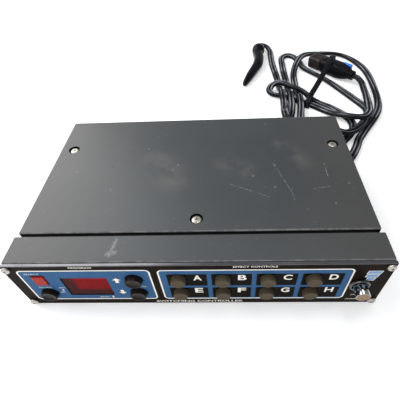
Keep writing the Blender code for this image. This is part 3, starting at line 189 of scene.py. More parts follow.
# The leads' routes: the mains lead before and after the spare length, and the control lead.
LEAD_START = tenths(
    (940, 926, 170), (944, 985, 169), (980, 1035, 164), (1055, 1045, 152), (1135, 985, 138),
    (1210, 930, 120), (1290, 920, 96), (1380, 965, 82), (1465, 1050, 74), (1535, 1155, 50),
    (1605, 1280, 26), (1635, 1400), (1560, 1615), (1350, 2050), (1155, 2350), (1115, 2550),
    (1065, 2675), (1000, 2710), (925, 2650), (900, 2410), (895, 1940), (893, 1825, 27), (889, 1750, 52),
    (885, 1675, 83), (880, 1540, 80), (873, 1430, 64), (825, 1245, 36), (740, 1195),
)
LEAD_END = tenths(
    (780, 1075), (905, 1150, 32), (946, 1310, 62), (966, 1460, 82), (976, 1613, 84), (978, 1656, 58),
    (982, 1712, 29), (985, 1940), (1015, 2240, 32), (1090, 2440, 80), (1185, 2580, 80),
    (1400, 2730, 26), (1680, 2670), (1850, 2320), (1840, 1800), (1745, 1380), (1490, 1000), (1422, 900),
    (1372, 795), (1304, 680), (1235, 598), (1168, 585), (1126, 635), (1136, 710), (1200, 805),
    (1285, 895), (1370, 995), (1422, 1100), (1425, 1210), (1380, 1315), (1290, 1440), (1170, 1550, 28),
    (1100, 1614, 46), (1040, 1670, 84), (980, 1725, 98), (885, 1815, 94), (790, 1888, 92),
    (715, 1880, 66), (678, 1815, 36), (715, 1750), (800, 1715), (885, 1650), (975, 1590), (1080, 1526),
    (1180, 1435), (1275, 1335, 34), (1365, 1240, 70), (1445, 1170, 96), (1525, 1154, 107),
    (1588, 1225, 106), (1622, 1330, 96), (1648, 1450, 86), (1675, 1590, 74), (1700, 1730, 56),
    (1706, 1865, 72), (1682, 1952, 84), (1650, 1991, 85),
)
CONTROL_ROUTE = tenths(
    (740, 989, 240), (740, 1080, 234), (753, 1190, 185), (770, 1290, 135), (787, 1400, 96),
    (798, 1510, 80), (800, 1620, 80), (800, 1720, 84), (800, 1790, 56), (800, 1860, 29), (800, 1940),
    (800, 2060), (793, 2220), (783, 2390, 26), (780, 2570, 26), (783, 2720, 34), (780, 2840, 46),
    (735, 2930, 66), (675, 2950, 76), (645, 2914, 77), (645, 2876, 77),
)
# The long plug, as (x, y, z, radius) from its tip to its head.
END_PLUG_STATIONS = tenths(
    (409, 1976, 32, 22), (419, 2010, 34, 32), (448, 2075, 42, 40), (489, 2170, 51, 49),
    (542, 2295, 56, 54), (594, 2430, 62, 60), (616, 2570, 64, 62), (616, 2690, 67, 65),
    (623, 2765, 82, 80), (636, 2820, 78, 76), (644, 2852, 77, 62), (645, 2871, 77, 42),
)
# The rubber strap over the mains plug and the folded lead.
STRAP_ROUTE = tenths(
    (1498, 2368, 20), (1498, 2368, 80), (1494, 2361, 136), (1484, 2342, 170), (1466, 2303, 182),
    (1439, 2244, 181), (1416, 2194, 179), (1360, 2085, 166), (1280, 1938, 138), (1200, 1790, 114),
    (1120, 1642, 102), (1102, 1609, 99), (1080, 1568, 84), (1066, 1541, 70), (1051, 1513, 54),
    (1040, 1492, 28), (1035, 1482, 8),
)


def middle(node):
    low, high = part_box(node)
    return (low + high) / 2


def new_object(name, data):
    item = bpy.data.objects.new(name, data)
    bpy.context.scene.collection.objects.link(item)
    return item


def look_at_unit():
    """The camera stands in front of the panel, above it, and looks down at the case."""
    lens = bpy.data.cameras.new("camera")
    lens.lens = 30.06
    lens.sensor_width = 36.0
    lens.shift_x = -0.0329
    lens.shift_y = -0.0225
    lens.clip_start = 0.01
    camera = new_object("camera", lens)
    camera.location = (0.01966, -0.16261, 0.20079)
    camera.rotation_euler = (radians(43.731), radians(2.658), radians(1.03))
    bpy.context.scene.camera = camera


def area_light(name, place, size, power, target=(0, 0, 0)):
    light = bpy.data.lights.new(name, "AREA")
    light.shape = "RECTANGLE"
    light.size, light.size_y = size
    light.energy = power
    lamp = new_object(name, light)
    lamp.location = place
    lamp.rotation_euler = (Vector(target) - Vector(place)).to_track_quat("-Z", "Y").to_euler()
    lamp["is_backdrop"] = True


def studio():
    """A pale floor under soft light, with the brightest panel behind and to the left."""
    floor_mesh = bpy.data.meshes.new("floor")
    reach = 6.0
    corners = [(-reach, -reach, 0), (reach, -reach, 0), (reach, reach, 0), (-reach, reach, 0)]
    floor_mesh.from_pydata(corners, [], [(0, 1, 2, 3)])
    floor = new_object("floor", floor_mesh)
    paper = Graph("pale paper")
    grain = paper.noise(900.0, 3.0)
    paper.colour = paper.mix(grain, (0.86, 0.86, 0.87), (0.9, 0.9, 0.9))
    paper.set("Emission Color", (1.0, 1.0, 1.0))
    paper.set("Emission Strength", 0.33)
    floor_mesh.materials.append(paper.done(0.9, specular=0.1))
    floor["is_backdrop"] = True
    area_light("key", (-0.84, 0.46, 0.72), (1.3, 1.3), 20.0)
    area_light("fill", (-0.25, -0.85, 0.65), (1.0, 0.7), 5.0)
    area_light("overhead", (0.2, 0.16, 1.15), (0.3, 0.34), 2.5, (0.1, 0.12, 0))
    world = bpy.data.worlds.new("studio")
    world.use_nodes = True
    sky = world.node_tree.nodes["Background"].inputs
    sky["Color"].default_value = (0.95, 0.97, 1.0, 1.0)
    sky["Strength"].default_value = 0.37
    bpy.context.scene.world = world
    bpy.context.scene.view_settings.view_transform = "Standard"


class Graph:
    """One procedural material, built a value at a time from the object's own coordinates."""

    def __init__(self, name):
        self.material = bpy.data.materials.new(name)
        self.material.use_nodes = True
        self.tree = self.material.node_tree
        self.shader = self.tree.nodes["Principled BSDF"]
        self.place = self.new("TexCoord").outputs["Object"]
        split = self.new("SeparateXYZ")
        self.join(self.place, split.inputs[0])
        self.x, self.y, self.z = split.outputs
        self.colour = None

    def new(self, kind):
        return self.tree.nodes.new("ShaderNode" + kind)

    def join(self, value, socket):
        """Feed a socket from another socket, or set it to a plain value."""
        if isinstance(value, bpy.types.NodeSocket):
            self.tree.links.new(value, socket)
        elif isinstance(value, (tuple, list)) and len(value) == 3 and len(socket.default_value) == 4:
            socket.default_value = (*value, 1.0)
        else:
            socket.default_value = value

    def set(self, name, value):
        self.join(value, self.shader.inputs[name])

    def math(self, operation, *values, clamp=False):
        node = self.new("Math")
        node.operation = operation
        node.use_clamp = clamp
        for value, socket in zip(values, node.inputs):
            self.join(value, socket)
        return node.outputs[0]

    times = partialmethod(math, "MULTIPLY")
    plus = partialmethod(math, "ADD")
    minus = partialmethod(math, "SUBTRACT")
    most = partialmethod(math, "MAXIMUM")

    def vector(self, operation, *values):
        node = self.new("VectorMath")
        node.operation = operation
        for value, socket in zip(values, node.inputs):
            self.join(value, socket)
        return node.outputs["Value" if operation in ("DOT_PRODUCT", "LENGTH") else "Vector"]

    def mix(self, factor, first, second):
        node = self.new("Mix")
        node.data_type = "RGBA"
        for value, name in ((factor, "Factor"), (first, "A"), (second, "B")):
            self.join(value, node.inputs[name])
        return node.outputs["Result"]

    def coat(self, mask, tint, strength=1.0):
        """Lay a colour over the one so far, where the mask is 1."""
        self.colour = self.mix(mask if strength == 1.0 else self.times(mask, strength), self.colour, tint)

    def blend(self, factor, first, second):
        """A number that runs from the first to the second as the factor goes from 0 to 1."""
        return self.math("MULTIPLY_ADD", factor, self.minus(second, first), first)

    def noise(self, scale, detail=2.0, stretch=(1.0, 1.0, 1.0)):
        node = self.new("TexNoise")
        self.join(self.vector("MULTIPLY", self.place, stretch), node.inputs["Vector"])
        node.inputs["Scale"].default_value = scale
        node.inputs["Detail"].default_value = detail
        return node.outputs["Fac"]

    def above(self, value, limit, softness=0.0001):
        """1 where the value is over the limit, 0 where it is under, with a soft step."""
        scaled = self.math("DIVIDE", self.minus(value, limit), softness)
        return self.math("ADD", scaled, 0.5, clamp=True)

    def below(self, value, limit, softness=0.0001):
        return self.minus(1.0, self.above(value, limit, softness))

    def between(self, value, start, end, end_softness=0.0001):
        return self.times(self.above(value, start), self.below(value, end, end_softness))

    def squared(self, first, second, centre):
        """Squared distance from a centre, in the plane of two coordinates."""
        across, up = (self.minus(value, at) for value, at in zip((first, second), centre))
        return self.plus(self.times(across, across), self.times(up, up))

    def rounded_box(self, across, up, field, corner):
        """Signed distance from a rounded rectangle, negative inside it."""
        left, right, low, high = field
        sides = []
        for value, start, end in ((across, left, right), (up, low, high)):
            offset = self.math("ABSOLUTE", self.minus(value, (start + end) / 2))
            sides.append(self.minus(offset, (end - start) / 2 - corner))
        outer = self.squared(*(self.most(side, 0.0) for side in sides), (0.0, 0.0))
        inner = self.math("MINIMUM", self.most(*sides), 0.0)
        return self.minus(self.plus(self.math("SQRT", outer), inner), corner)

    def segment(self, start, end):
        """Distance from a straight line between two points."""
        along = Vector(end) - Vector(start)
        offset = self.vector("SUBTRACT", self.place, tuple(start))
        ahead = self.vector("DOT_PRODUCT", offset, tuple(along))
        share = self.math("ADD", self.math("DIVIDE", ahead, along.length_squared), 0.0, clamp=True)
        nearest = self.vector("MULTIPLY", share, tuple(along))
        return self.vector("LENGTH", self.vector("SUBTRACT", offset, nearest))

    def done(self, roughness, bump=None, metallic=0.0, specular=0.5):
        """Connect the colour and the rest to the shader; bump is (height, distance, strength)."""
        self.set("Base Color", self.colour)
        self.set("Roughness", roughness)
        self.set("Metallic", metallic)
        self.set("Specular IOR Level", specular)
        if bump:
            node = self.new("Bump")
            for value, name in zip(bump, ("Height", "Distance", "Strength")):
                self.join(value, node.inputs[name])
            self.set("Normal", node.outputs["Normal"])
        return self.material


# In every function that makes a material, g is its graph.

# Wear on the cover's top: scratches as (start, end, width, strength), spots as (x, y, radius, strength),
# dull patches as (start, end, width), and one dark pit.
TOP_SCRATCHES = (
    ((0.051, 0.0129), (0.06, -0.0152), 0.00013, 0.45),
    ((0.06, -0.0152), (0.0609, -0.0221), 0.00012, 0.39),
    ((0.0207, -0.0069), (0.0457, -0.0192), 0.00014, 0.45),
    ((0.0857, 0.0117), (0.0856, -0.0013), 0.00015, 0.51),
    ((0.0737, -0.0129), (0.0855, -0.0106), 0.00013, 0.45),
    ((-0.06, -0.008), (-0.056, -0.014), 0.00014, 0.33),
    ((-0.0456, -0.0493), (-0.0474, -0.0615), 0.0009, 0.3),
    ((-0.049, -0.06), (-0.045, -0.059), 0.0012, 0.33),
)
TOP_SPOTS = (
    (0.0514, 0.0108, 0.0009, 0.34),
    (0.0363, 0.0002, 0.0009, 0.28),
    (0.0498, -0.0105, 0.001, 0.24),
    (0.0495, 0.0594, 0.001, 0.22),
    (0.0975, -0.0082, 0.0009, 0.24),
    (0.0853, -0.0252, 0.0009, 0.24),
    (-0.0391, 0.0317, 0.0009, 0.26),
    (-0.0156, 0.013, 0.0009, 0.3),
    (-0.019, 0.008, 0.0007, 0.26),
)
TOP_PATCHES = (
    ((0.0599, 0.0348), (0.0735, 0.0121), 0.007),
    ((-0.03, 0.018), (-0.018, -0.002), 0.012),
    ((0.018, 0.015), (0.03, 0.006), 0.009),
)
TOP_PIT = ((-0.0621, 0.0125, TOP_Z), (-0.0619, 0.0128, TOP_Z))


def case_paint():
    """Satin grey paint: uneven cast, dull patches, scratches and scuffs on top, worn front edges with a
    painted highlight along them, and painted shade in the groove and round the cover screws.
    """
    g = Graph("case paint")
    cloud = g.noise(22.0, 4.0)
    grain = g.noise(2600.0)
    off_middle = g.math("ABSOLUTE", g.minus(g.x, 0.006))
    cast = g.plus(off_middle, g.times(g.noise(11.0), 0.05))
    g.colour = g.mix(cloud, (0.032, 0.038, 0.041), (0.042, 0.049, 0.051))
    warm = g.mix(cloud, (0.039, 0.039, 0.039), (0.049, 0.049, 0.048))
    g.coat(g.above(cast, 0.092, 0.05), warm)

    patch = 0.0
    for start, end, width in TOP_PATCHES:
        reach = g.segment((*start, TOP_Z), (*end, TOP_Z))
        patch = g.most(patch, g.below(reach, width * 0.6, width * 1.5))
    patch = g.times(patch, g.above(g.noise(70.0, 4.0), 0.48, 0.25))
    g.coat(patch, (0.105, 0.1, 0.094), 0.6)
    g.coat(g.above(g.noise(420.0, 3.0), 0.72, 0.05), (0.22, 0.22, 0.22), 0.25)

    coarse_breaks = g.above(g.noise(330.0), 0.42, 0.15)
    broken = g.times(coarse_breaks, g.above(g.noise(1100.0), 0.46, 0.3))
    marks = 0.0
    for start, end, width, strength in TOP_SCRATCHES:
        reach = g.segment((*start, TOP_Z), (*end, TOP_Z))
        line = g.times(g.below(reach, width, width * 1.6), broken)
        marks = g.most(marks, g.times(line, strength))
    for x, y, radius, strength in TOP_SPOTS:
        reach = g.segment((x, y, TOP_Z), (x + 0.0002, y, TOP_Z))
        marks = g.most(marks, g.times(g.below(reach, radius * 0.5, radius), strength))
    g.coat(marks, (0.55, 0.56, 0.56))
    g.coat(g.below(g.segment(*TOP_PIT), 0.0005, 0.0006), (0.01, 0.01, 0.01), 0.8)

    # The front top edges of the frame and the cover: a lighter band that is partly real wear (the brighter
    # chips) and partly a painted highlight for the light on their rounded edges.
    edge_wear_and_highlight = 0.0
    for edge_y in (FRONT_Y + FRAME_EDGE, COVER_FRONT_Y):
        near = g.between(g.y, edge_y - 0.0002, edge_y + 0.0007, 0.0005)
        edge_wear_and_highlight = g.most(edge_wear_and_highlight, g.times(near, g.above(g.z, TOP_Z - 0.0009, 0.0004)))
    chips = g.above(g.noise(300.0, 4.0), 0.5, 0.16)
    edge_wear_and_highlight = g.times(edge_wear_and_highlight, g.blend(chips, 0.35, 0.85))
    g.coat(edge_wear_and_highlight, (0.22, 0.22, 0.215))

    # Painted shade: the groove between the front frame and the cover, and the dimple round each cover screw,
    # are painted near black, rougher and with little reflection.
    painted_groove_shade = g.between(g.y, COVER_FRONT_Y - GROOVE_WIDTH, COVER_FRONT_Y + 0.0003)
    painted_groove_shade = g.times(painted_groove_shade, g.below(g.z, TOP_Z - 0.0008, 0.0003))
    for node in COVER_SCREWS:
        square = g.squared(g.x, g.y, middle(node).xy)
        painted_well_shade = g.below(square, SCREW_WELL**2, 1e-6)
        painted_groove_shade = g.most(painted_groove_shade, g.times(painted_well_shade, g.below(g.z, TOP_Z - 0.0002)))
    g.coat(painted_groove_shade, (0.004, 0.004, 0.004))
    return g.done(
        g.blend(painted_groove_shade, g.blend(cloud, 0.35, 0.46), 0.85),
        (g.minus(grain, g.times(marks, 2.0)), 0.00004, 0.5),
        metallic=g.times(edge_wear_and_highlight, 0.4),
        specular=g.blend(painted_groove_shade, 0.5, 0.05),
    )


def panel_print():
    """Satin black panel with blue fields, cream outlines and black cells printed on its face."""
    g = Graph("panel print")
    grain = g.noise(1500.0, 3.0)
    cloud = g.noise(60.0, 3.0)
    g.colour = g.mix(cloud, (0.005, 0.003, 0.0018), (0.012, 0.0075, 0.005))
    blue = g.mix(cloud, (0.03, 0.088, 0.19), (0.042, 0.118, 0.255))
    cream = g.mix(cloud, (0.78, 0.74, 0.66), (0.9, 0.87, 0.8))
    cell = g.mix(grain, (0.002, 0.0015, 0.001), (0.006, 0.0045, 0.0035))
    for field in (LEFT_FIELD, RIGHT_FIELD):
        reach = g.rounded_box(g.x, g.z, field, FIELD_CORNER)
        g.coat(g.below(reach, 0.0, PRINT_EDGE), cream)
        g.coat(g.below(reach, -PRINT_LINE, PRINT_EDGE), blue)
    start = FIRST_COLUMN_X + CELL_START
    column = g.math("WRAP", g.x, start + COLUMN_PITCH, start)
    used = g.between(g.x, start, start + 4 * COLUMN_PITCH)
    for low, high in CELL_ROWS:
        reach = g.rounded_box(column, g.z, (start, start + CELL_WIDTH, low, high), CELL_CORNER)
        g.coat(g.times(g.below(reach, 0.0, PRINT_EDGE), used), cell)
    # Painted shade: a dark rim round the lens and the display window, a little wider than their holes.
    for node in ("indicator_lens", "display_window"):
        low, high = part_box(node)
        hole = (low.x - GAP, high.x, low.z - GAP, high.z + 0.0002)
        reach = g.rounded_box(g.x, g.z, hole, 0.0004)
        g.coat(g.below(reach, 0.0004), (0.006, 0.004, 0.004))
    g.coat(g.above(g.y, FRONT_Y + 0.0002), (0.014, 0.011, 0.01))
    rim = g.above(g.z, TOP_Z - 0.00035, 0.0002)
    bare = g.times(rim, g.blend(g.noise(90.0, 4.0), 0.75, 1.0))
    g.coat(bare, g.mix(cloud, (0.09, 0.09, 0.1), (0.19, 0.19, 0.2)))
    return g.done(
        g.blend(bare, g.blend(grain, 0.34, 0.5), 0.2),
        (grain, 0.00003, 0.5),
        metallic=bare,
        specular=g.blend(bare, 0.02, 0.5),
    )


def metal(name, colour, roughness, grain_scale, stretch=(1.0, 1.0, 1.0), tarnish=0.25, metallic=1.0):
    """Bare or plated metal with fine grain and a little tarnish."""
    g = Graph(name)
    grain = g.noise(grain_scale, 3.0, stretch)
    dull = tuple(channel * (1.0 - tarnish) for channel in colour)
    g.colour = g.mix(g.noise(180.0, 3.0), dull, colour)
    rough = g.blend(grain, roughness * 0.75, roughness * 1.25)
    return g.done(rough, (grain, 0.00002, 0.4), metallic)


def moulding(name, dark, light, roughness, texture=0.00003, shine=0.5):
    """Moulded plastic or rubber: slightly uneven colour and a fine texture."""
    g = Graph(name)
    cloud = g.noise(140.0, 4.0)
    g.colour = g.mix(cloud, dark, light)
    rough = g.blend(cloud, roughness * 0.85, roughness * 1.15)
    return g.done(rough, (g.noise(2200.0), texture, 0.4), specular=shine)


def power_plating():
    """Bright plating on the sides, and a tan reflection painted on the flat end, which is duller and less
    metallic.
    """
    g = Graph("power plating")
    centre = middle("power_button")
    radius = g.math("SQRT", g.squared(g.x, g.z, (centre.x, centre.z)))
    front = g.below(g.y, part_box("power_button")[0].y + 0.0002)
    end = g.times(front, g.below(radius, 0.0037, 0.0002))
    cloud = g.noise(500.0, 3.0)
    g.colour = g.mix(cloud, (0.34, 0.35, 0.36), (0.46, 0.47, 0.48))
    # Painted reflection: the tan on the flat end stands in for a brown surrounding reflected in it.
    g.coat(end, g.mix(cloud, (0.17, 0.095, 0.04), (0.27, 0.165, 0.08)))
    grain = (g.noise(900.0), 0.00002, 0.3)
    return g.done(g.blend(end, 0.09, 0.34), grain, g.blend(end, 1.0, 0.6))


def red_filter():
    """A tinted sheet: deep red, with a glow painted in its upper right that also emits light, painted shade
    darker towards its left and bottom, and a painted highlight along its top edge.
    """
    g = Graph("red filter")
    low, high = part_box("display_window")
    cloud = g.noise(260.0)
    left = low.x + 0.22 * (high.x - low.x)
    bottom = low.z + 0.3 * (high.z - low.z)
    field = (left, high.x + 0.02, bottom, high.z + 0.02)
    # Painted glow: the upper right of the sheet is painted lighter and made to emit light, and its left and
    # bottom stay darker as painted shade.
    painted_glow = g.below(g.rounded_box(g.x, g.z, field, 0.002), -0.0006, 0.004)
    rim = g.above(g.z, high.z - 0.0008, 0.0004)
    g.colour = g.mix(cloud, (0.04, 0.006, 0.004), (0.062, 0.009, 0.006))
    g.coat(painted_glow, g.mix(cloud, (0.15, 0.001, 0.002), (0.22, 0.002, 0.003)))
    # Painted highlight: a brighter red band along the top edge.
    g.coat(g.times(rim, g.blend(painted_glow, 0.1, 0.5)), (0.62, 0.02, 0.022))
    g.set("Emission Color", g.colour)
    g.set("Emission Strength", g.blend(painted_glow, 0.05, 0.3))
    clear = g.new("BsdfTransparent")
    clear.inputs["Color"].default_value = (0.5, 0.012, 0.015, 1.0)
    mixed = g.new("MixShader")
    mixed.inputs["Fac"].default_value = 0.75
    g.join(clear.outputs[0], mixed.inputs[1])
    g.join(g.shader.outputs[0], mixed.inputs[2])
    g.join(mixed.outputs[0], g.tree.nodes["Material Output"].inputs["Surface"])
    return g.done(0.14, (g.noise(500.0, 1.0), 0.00002, 0.3), specular=0.03)


def red_lens():
    """Deep red plastic that lets a little light into it."""
    g = Graph("red lens")
    g.colour = g.mix(g.noise(300.0), (0.26, 0.012, 0.006), (0.37, 0.02, 0.01))
    g.set("Subsurface Weight", 0.3)
    g.set("Subsurface Radius", (0.004, 0.001, 0.001))
    return g.done(0.26, (g.noise(700.0, 1.0), 0.00004, 0.4), specular=0.05)


def display_face():
    """Grey epoxy face with paler figure segments cut into it."""
    g = Graph("display face")
    front_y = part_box("display_module")[0].y
    g.colour = g.mix(g.noise(400.0), (0.3, 0.3, 0.3), (0.42, 0.42, 0.42))
    g.coat(g.above(g.y, front_y + 0.0001), (0.02, 0.02, 0.02))
    g.coat(g.between(g.y, front_y + 0.0004, front_y + 0.0008), (0.62, 0.6, 0.58))
    return g.done(0.5)


def circuit_board():
    """Green solder mask over a raised grid of copper tracks."""
    g = Graph("circuit board")
    tracks = g.new("TexBrick")
    g.join(g.place, tracks.inputs["Vector"])
    tracks.inputs["Scale"].default_value = 260.0
    tracks.inputs["Mortar Size"].default_value = 0.06
    cloud = g.noise(120.0)
    g.colour = g.mix(cloud, (0.012, 0.09, 0.04), (0.02, 0.135, 0.06))
    g.coat(tracks.outputs["Fac"], (0.04, 0.21, 0.085))
    return g.done(g.blend(cloud, 0.3, 0.42), (tracks.outputs["Fac"], 0.00005, 0.6))


def flat_cable():
    """Grey ribbon with a groove between its wires and one red edge wire."""
    g = Graph("ribbon cable")
    pitch = 0.00127
    wave = g.math("SINE", g.times(g.x, 2 * pi / pitch))
    g.colour = g.mix(g.noise(300.0), (0.24, 0.25, 0.26), (0.32, 0.33, 0.34))
    g.coat(g.below(g.x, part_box("ribbon_cable")[0].x + pitch), (0.4, 0.03, 0.03))
    return g.done(0.45, (wave, 0.0003, 0.8))


def jacket():
    """Black cord jacket: a pale highlight painted along the tops of its cores in broken stretches, where it
    is also shinier; duller on its flanks.
    """
    g = Graph("cord jacket")
    cloud = g.noise(90.0, 4.0)
    mark = g.new("Attribute")
    mark.attribute_name = RIDGE
    stretches = g.blend(g.above(g.noise(55.0), 0.5, 0.2), 0.14, 1.0)
    painted_highlight = g.times(mark.outputs["Fac"], stretches)
    g.colour = g.mix(cloud, (0.0018, 0.0022, 0.0032), (0.005, 0.006, 0.009))
    g.coat(g.above(g.noise(700.0, 3.0), 0.66, 0.1), (0.2, 0.2, 0.21), 0.05)
    g.coat(painted_highlight, (0.34, 0.36, 0.41))
    rough = g.blend(painted_highlight, g.blend(cloud, 0.24, 0.36), 0.12)
    grain = (g.noise(350.0, 3.0), 0.00005, 0.3)
    return g.done(rough, grain, specular=g.blend(painted_highlight, 0.09, 0.6))


LOOKS = {
    "case_paint": case_paint(),
    "panel_paint": panel_print(),
    "plated_steel": metal("nickel plating", (0.86, 0.84, 0.8), 0.24, 900.0),
    "chrome": power_plating(),
    "zinc_steel": metal("zinc steel", (0.6, 0.61, 0.62), 0.38, 500.0, (1.0, 0.08, 1.0)),
    "grey_cap": moulding("grey cap", (0.062, 0.047, 0.029), (0.088, 0.069, 0.045), 0.48, shine=0.06),
    "black_plastic": moulding(
        "black plastic", (0.006, 0.005, 0.004), (0.014, 0.011, 0.009), 0.3, shine=0.07
    ),
    "brown_plastic": moulding(
        "brown plastic", (0.01, 0.007, 0.006), (0.022, 0.015, 0.013), 0.42, 0.00006, shine=0.3
    ),
    "red_filter": red_filter(),
    "red_lens": red_lens(),
    "circuit_board": circuit_board(),
    "coil_tape": moulding("coil tape", (0.42, 0.28, 0.05), (0.54, 0.38, 0.09), 0.42),
    "lead_rubber": jacket(),
    "brass": metal("brass", (0.8, 0.62, 0.32), 0.26, 700.0),
    "aluminium": metal("aluminium", (0.78, 0.79, 0.8), 0.36, 600.0, (1.0, 1.0, 0.1)),
    "ribbon": flat_cable(),
    "capacitor_sleeve": moulding("capacitor sleeve", (0.014, 0.03, 0.085), (0.022, 0.044, 0.12), 0.3),
}
CREAM_INK = moulding("cream ink", (0.74, 0.7, 0.62), (0.86, 0.83, 0.75), 0.5)
BLUE_INK = moulding("blue ink", (0.1, 0.24, 0.48), (0.14, 0.3, 0.58), 0.5)
BLUE_INSET = moulding("blue inset", (0.01, 0.17, 0.8), (0.02, 0.24, 0.95), 0.3)
SCREW_PLATING = metal("screw plating", (0.5, 0.47, 0.42), 0.3, 900.0, metallic=0.7)
DARK_RING = metal("dark ring plating", (0.13, 0.13, 0.13), 0.3, 900.0)
DISPLAY_FACE = display_face()


def dress_cad():
    """Give every CAD node the procedural material of its slot."""
    for entry in frame["record"]["subparts"]:
        node = entry["node"]
        mesh = frame["nodes"][node].data
        mesh.materials.clear()
        mesh.materials.append(DISPLAY_FACE if node == "display_module" else LOOKS[entry["material_slot"]])


def as_mesh(name, shape):
    """A new mesh from a bmesh, with its faces turned outwards."""
    shape.normal_update()
    bmesh.ops.recalc_face_normals(shape, faces=shape.faces)
    mesh = bpy.data.meshes.new(name)
    shape.to_mesh(mesh)
    return mesh


def finish_piece(name, shape, slot=None, nodes=(), look=None, body=CASE, angle=35.0):
    """Turn a bmesh into a named piece on a body, in place of the CAD nodes it stands for."""
    mesh = as_mesh(name, shape)
    shape.free()
    mesh.materials.append(look or LOOKS[slot])
    mesh.shade_smooth()
    mesh.set_sharp_from_angle(angle=radians(angle))
    piece = new_object(name, mesh)
    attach(piece, body)
    if nodes:
        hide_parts(*nodes)
    return piece


def facing(direction, place):
    """A frame whose +Z points along the direction, at the place."""
    turn = Vector(direction).to_track_quat("Z", "Y").to_matrix().to_4x4()
    return Matrix.Translation(Vector(place)) @ turn


def turned_node(node, direction=(0, -1, 0)):
    """A round node's radius, its length, and a frame on its axis at its top or else its front end."""
    low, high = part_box(node)
    centre = (low + high) / 2
    radius = (high.x - low.x) / 2
    if direction[2]:
        return radius, high.z - low.z, facing(direction, (centre.x, centre.y, high.z))
    return radius, high.y - low.y, facing(direction, (centre.x, low.y, centre.z))


def loft(rings, closed_ends=True):
    """A bmesh of rings of points joined with faces; a ring of one point is a tip."""
    shape = bmesh.new()
    loops = [[shape.verts.new(point) for point in ring] for ring in rings]
    for here, there in zip(loops, loops[1:]):
        count = max(len(here), len(there))
        for step in range(count):
            after = (step + 1) % count
            around = ((here, step), (here, after), (there, after), (there, step))
            corners = [loop[number % len(loop)] for loop, number in around]
            shape.faces.new(list(dict.fromkeys(corners)))
    if closed_ends:
        for loop in (loops[0], loops[-1]):
            if len(loop) > 2:
                shape.faces.new(loop)
    return shape


def circle(radius, height, placed, segments):
    if radius == 0.0:
        return [placed @ Vector((0, 0, height))]
    ring = []
    for step in range(segments):
        angle = 2 * pi * step / segments
        ring.append(placed @ Vector((radius * cos(angle), radius * sin(angle), height)))
    return ring


def rounded(profile, radius, steps=3):
    """Round the corners of an open (radius, height) outline."""
    smooth = [profile[0]]
    for before, here, after in zip(profile, profile[1:], profile[2:]):
        corner = Vector(here)
        back = Vector(before) - corner
        on = Vector(after) - corner
        reach = min(radius, back.length * 0.45, on.length * 0.45)
        start = corner + back.normalized() * reach
        end = corner + on.normalized() * reach
        for step in range(steps + 1):
            share = step / steps
            smooth.append(tuple(start.lerp(corner, share).lerp(corner.lerp(end, share), share)))
    smooth.append(profile[-1])
    return smooth


def turned(profile, placed, segments=48):
    return loft([circle(max(radius, 0.0), height, placed, segments) for radius, height in profile])


def build_caps():
    """Button caps with soft rims: flat grey ones for the channels, dished black ones beside the display."""
    for node in CHANNEL_NODES + PROGRAM_NODES:
        radius, length, placed = turned_node(node)
        dished = node in PROGRAM_NODES
        dip = 0.0007 if dished else 0.00012
        back = STEM_LENGTH - length
        profile = [(0.0, -length), (STEM_RADIUS, -length), (STEM_RADIUS, back), (radius, back)]
        profile += [(radius, -0.0014), (radius - 0.0002, 0.0), (radius - 0.0009, 0.0)]
        profile += [(radius * 0.5, -dip * 0.8), (0.0, -dip)]
        shape = turned(rounded(profile, 0.00035), placed)
        finish_piece(node + "_cap", shape, "black_plastic" if dished else "grey_cap", [node], body=node)


def build_power_button():
    """The plated cylinder, and the turned ring that it comes out of."""
    radius, length, placed = turned_node("power_button")
    profile = [(0.0, -length), (radius, -length), (radius, 0.0), (radius - 0.0007, 0.0), (0.0, -0.00005)]
    shape = turned(rounded(profile, 0.0003), placed, 64)
    finish_piece("power_cap", shape, "chrome", ["power_button"], body="power_button")
    low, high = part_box("power_bushing")
    centre = middle("power_button")
    placed = facing((0, -1, 0), (centre.x, FRONT_Y, centre.z))
    flange = (high.x - low.x) / 2
    proud = FRONT_Y - low.y
    bevel = 0.0005
    lip = 0.0002
    outline = [(RING_BORE, -RING_SUNK), (RING_BARREL, -RING_SUNK), (RING_BARREL, GAP), (flange, GAP)]
    outline += [(flange, proud - bevel), (flange - bevel, proud)]
    outline += [(RING_BORE + lip, proud), (RING_BORE, proud - lip)]
    rings = [circle(radius, height, placed, 64) for radius, height in outline + outline[:1]]
    shape = loft(rings, closed_ends=False)
    bmesh.ops.remove_doubles(shape, verts=shape.verts, dist=1e-7)
    finish_piece("power_ring", shape, "plated_steel", ["power_bushing"], DARK_RING)


def build_screws():
    """Pan heads with a cross recess."""
    for node in COVER_SCREWS + PANEL_SCREWS:
        upright = node in COVER_SCREWS
        radius, length, placed = turned_node(node, (0, 0, 1) if upright else (0, -1, 0))
        head, shank = (0.0016, 0.0014) if upright else (0.0015, 0.0009)
        profile = [(0.0, -length), (shank, -length), (shank, -head), (radius, -head), (radius, -head * 0.62)]
        profile += [(radius * 0.9, -head * 0.28), (radius * 0.62, -head * 0.06), (0.0, 0.0)]
        shape = turned(rounded(profile, 0.0003), placed, 40)
        cut_cross(shape, placed, radius, head)
        finish_piece(node + "_head", shape, "plated_steel", [node], SCREW_PLATING)


def cut_cross(shape, placed, radius, head):
    """Sink a cross into a screw's head by a Boolean cut."""
    arm = radius * 0.46
    blade = radius * 0.12
    corners = []
    for quarter in range(4):
        turn = Matrix.Rotation(quarter * pi / 2, 2)
        corners += [turn @ Vector(point) for point in ((arm, blade), (blade, blade), (blade, arm))]
    rings = []
    for height, scale in ((-head * 0.62, 0.55), (head, 1.2)):
        rings.append([placed @ Vector((x * scale, y * max(scale, 0.8), height)) for x, y in corners])
    subtract(shape, loft(rings))


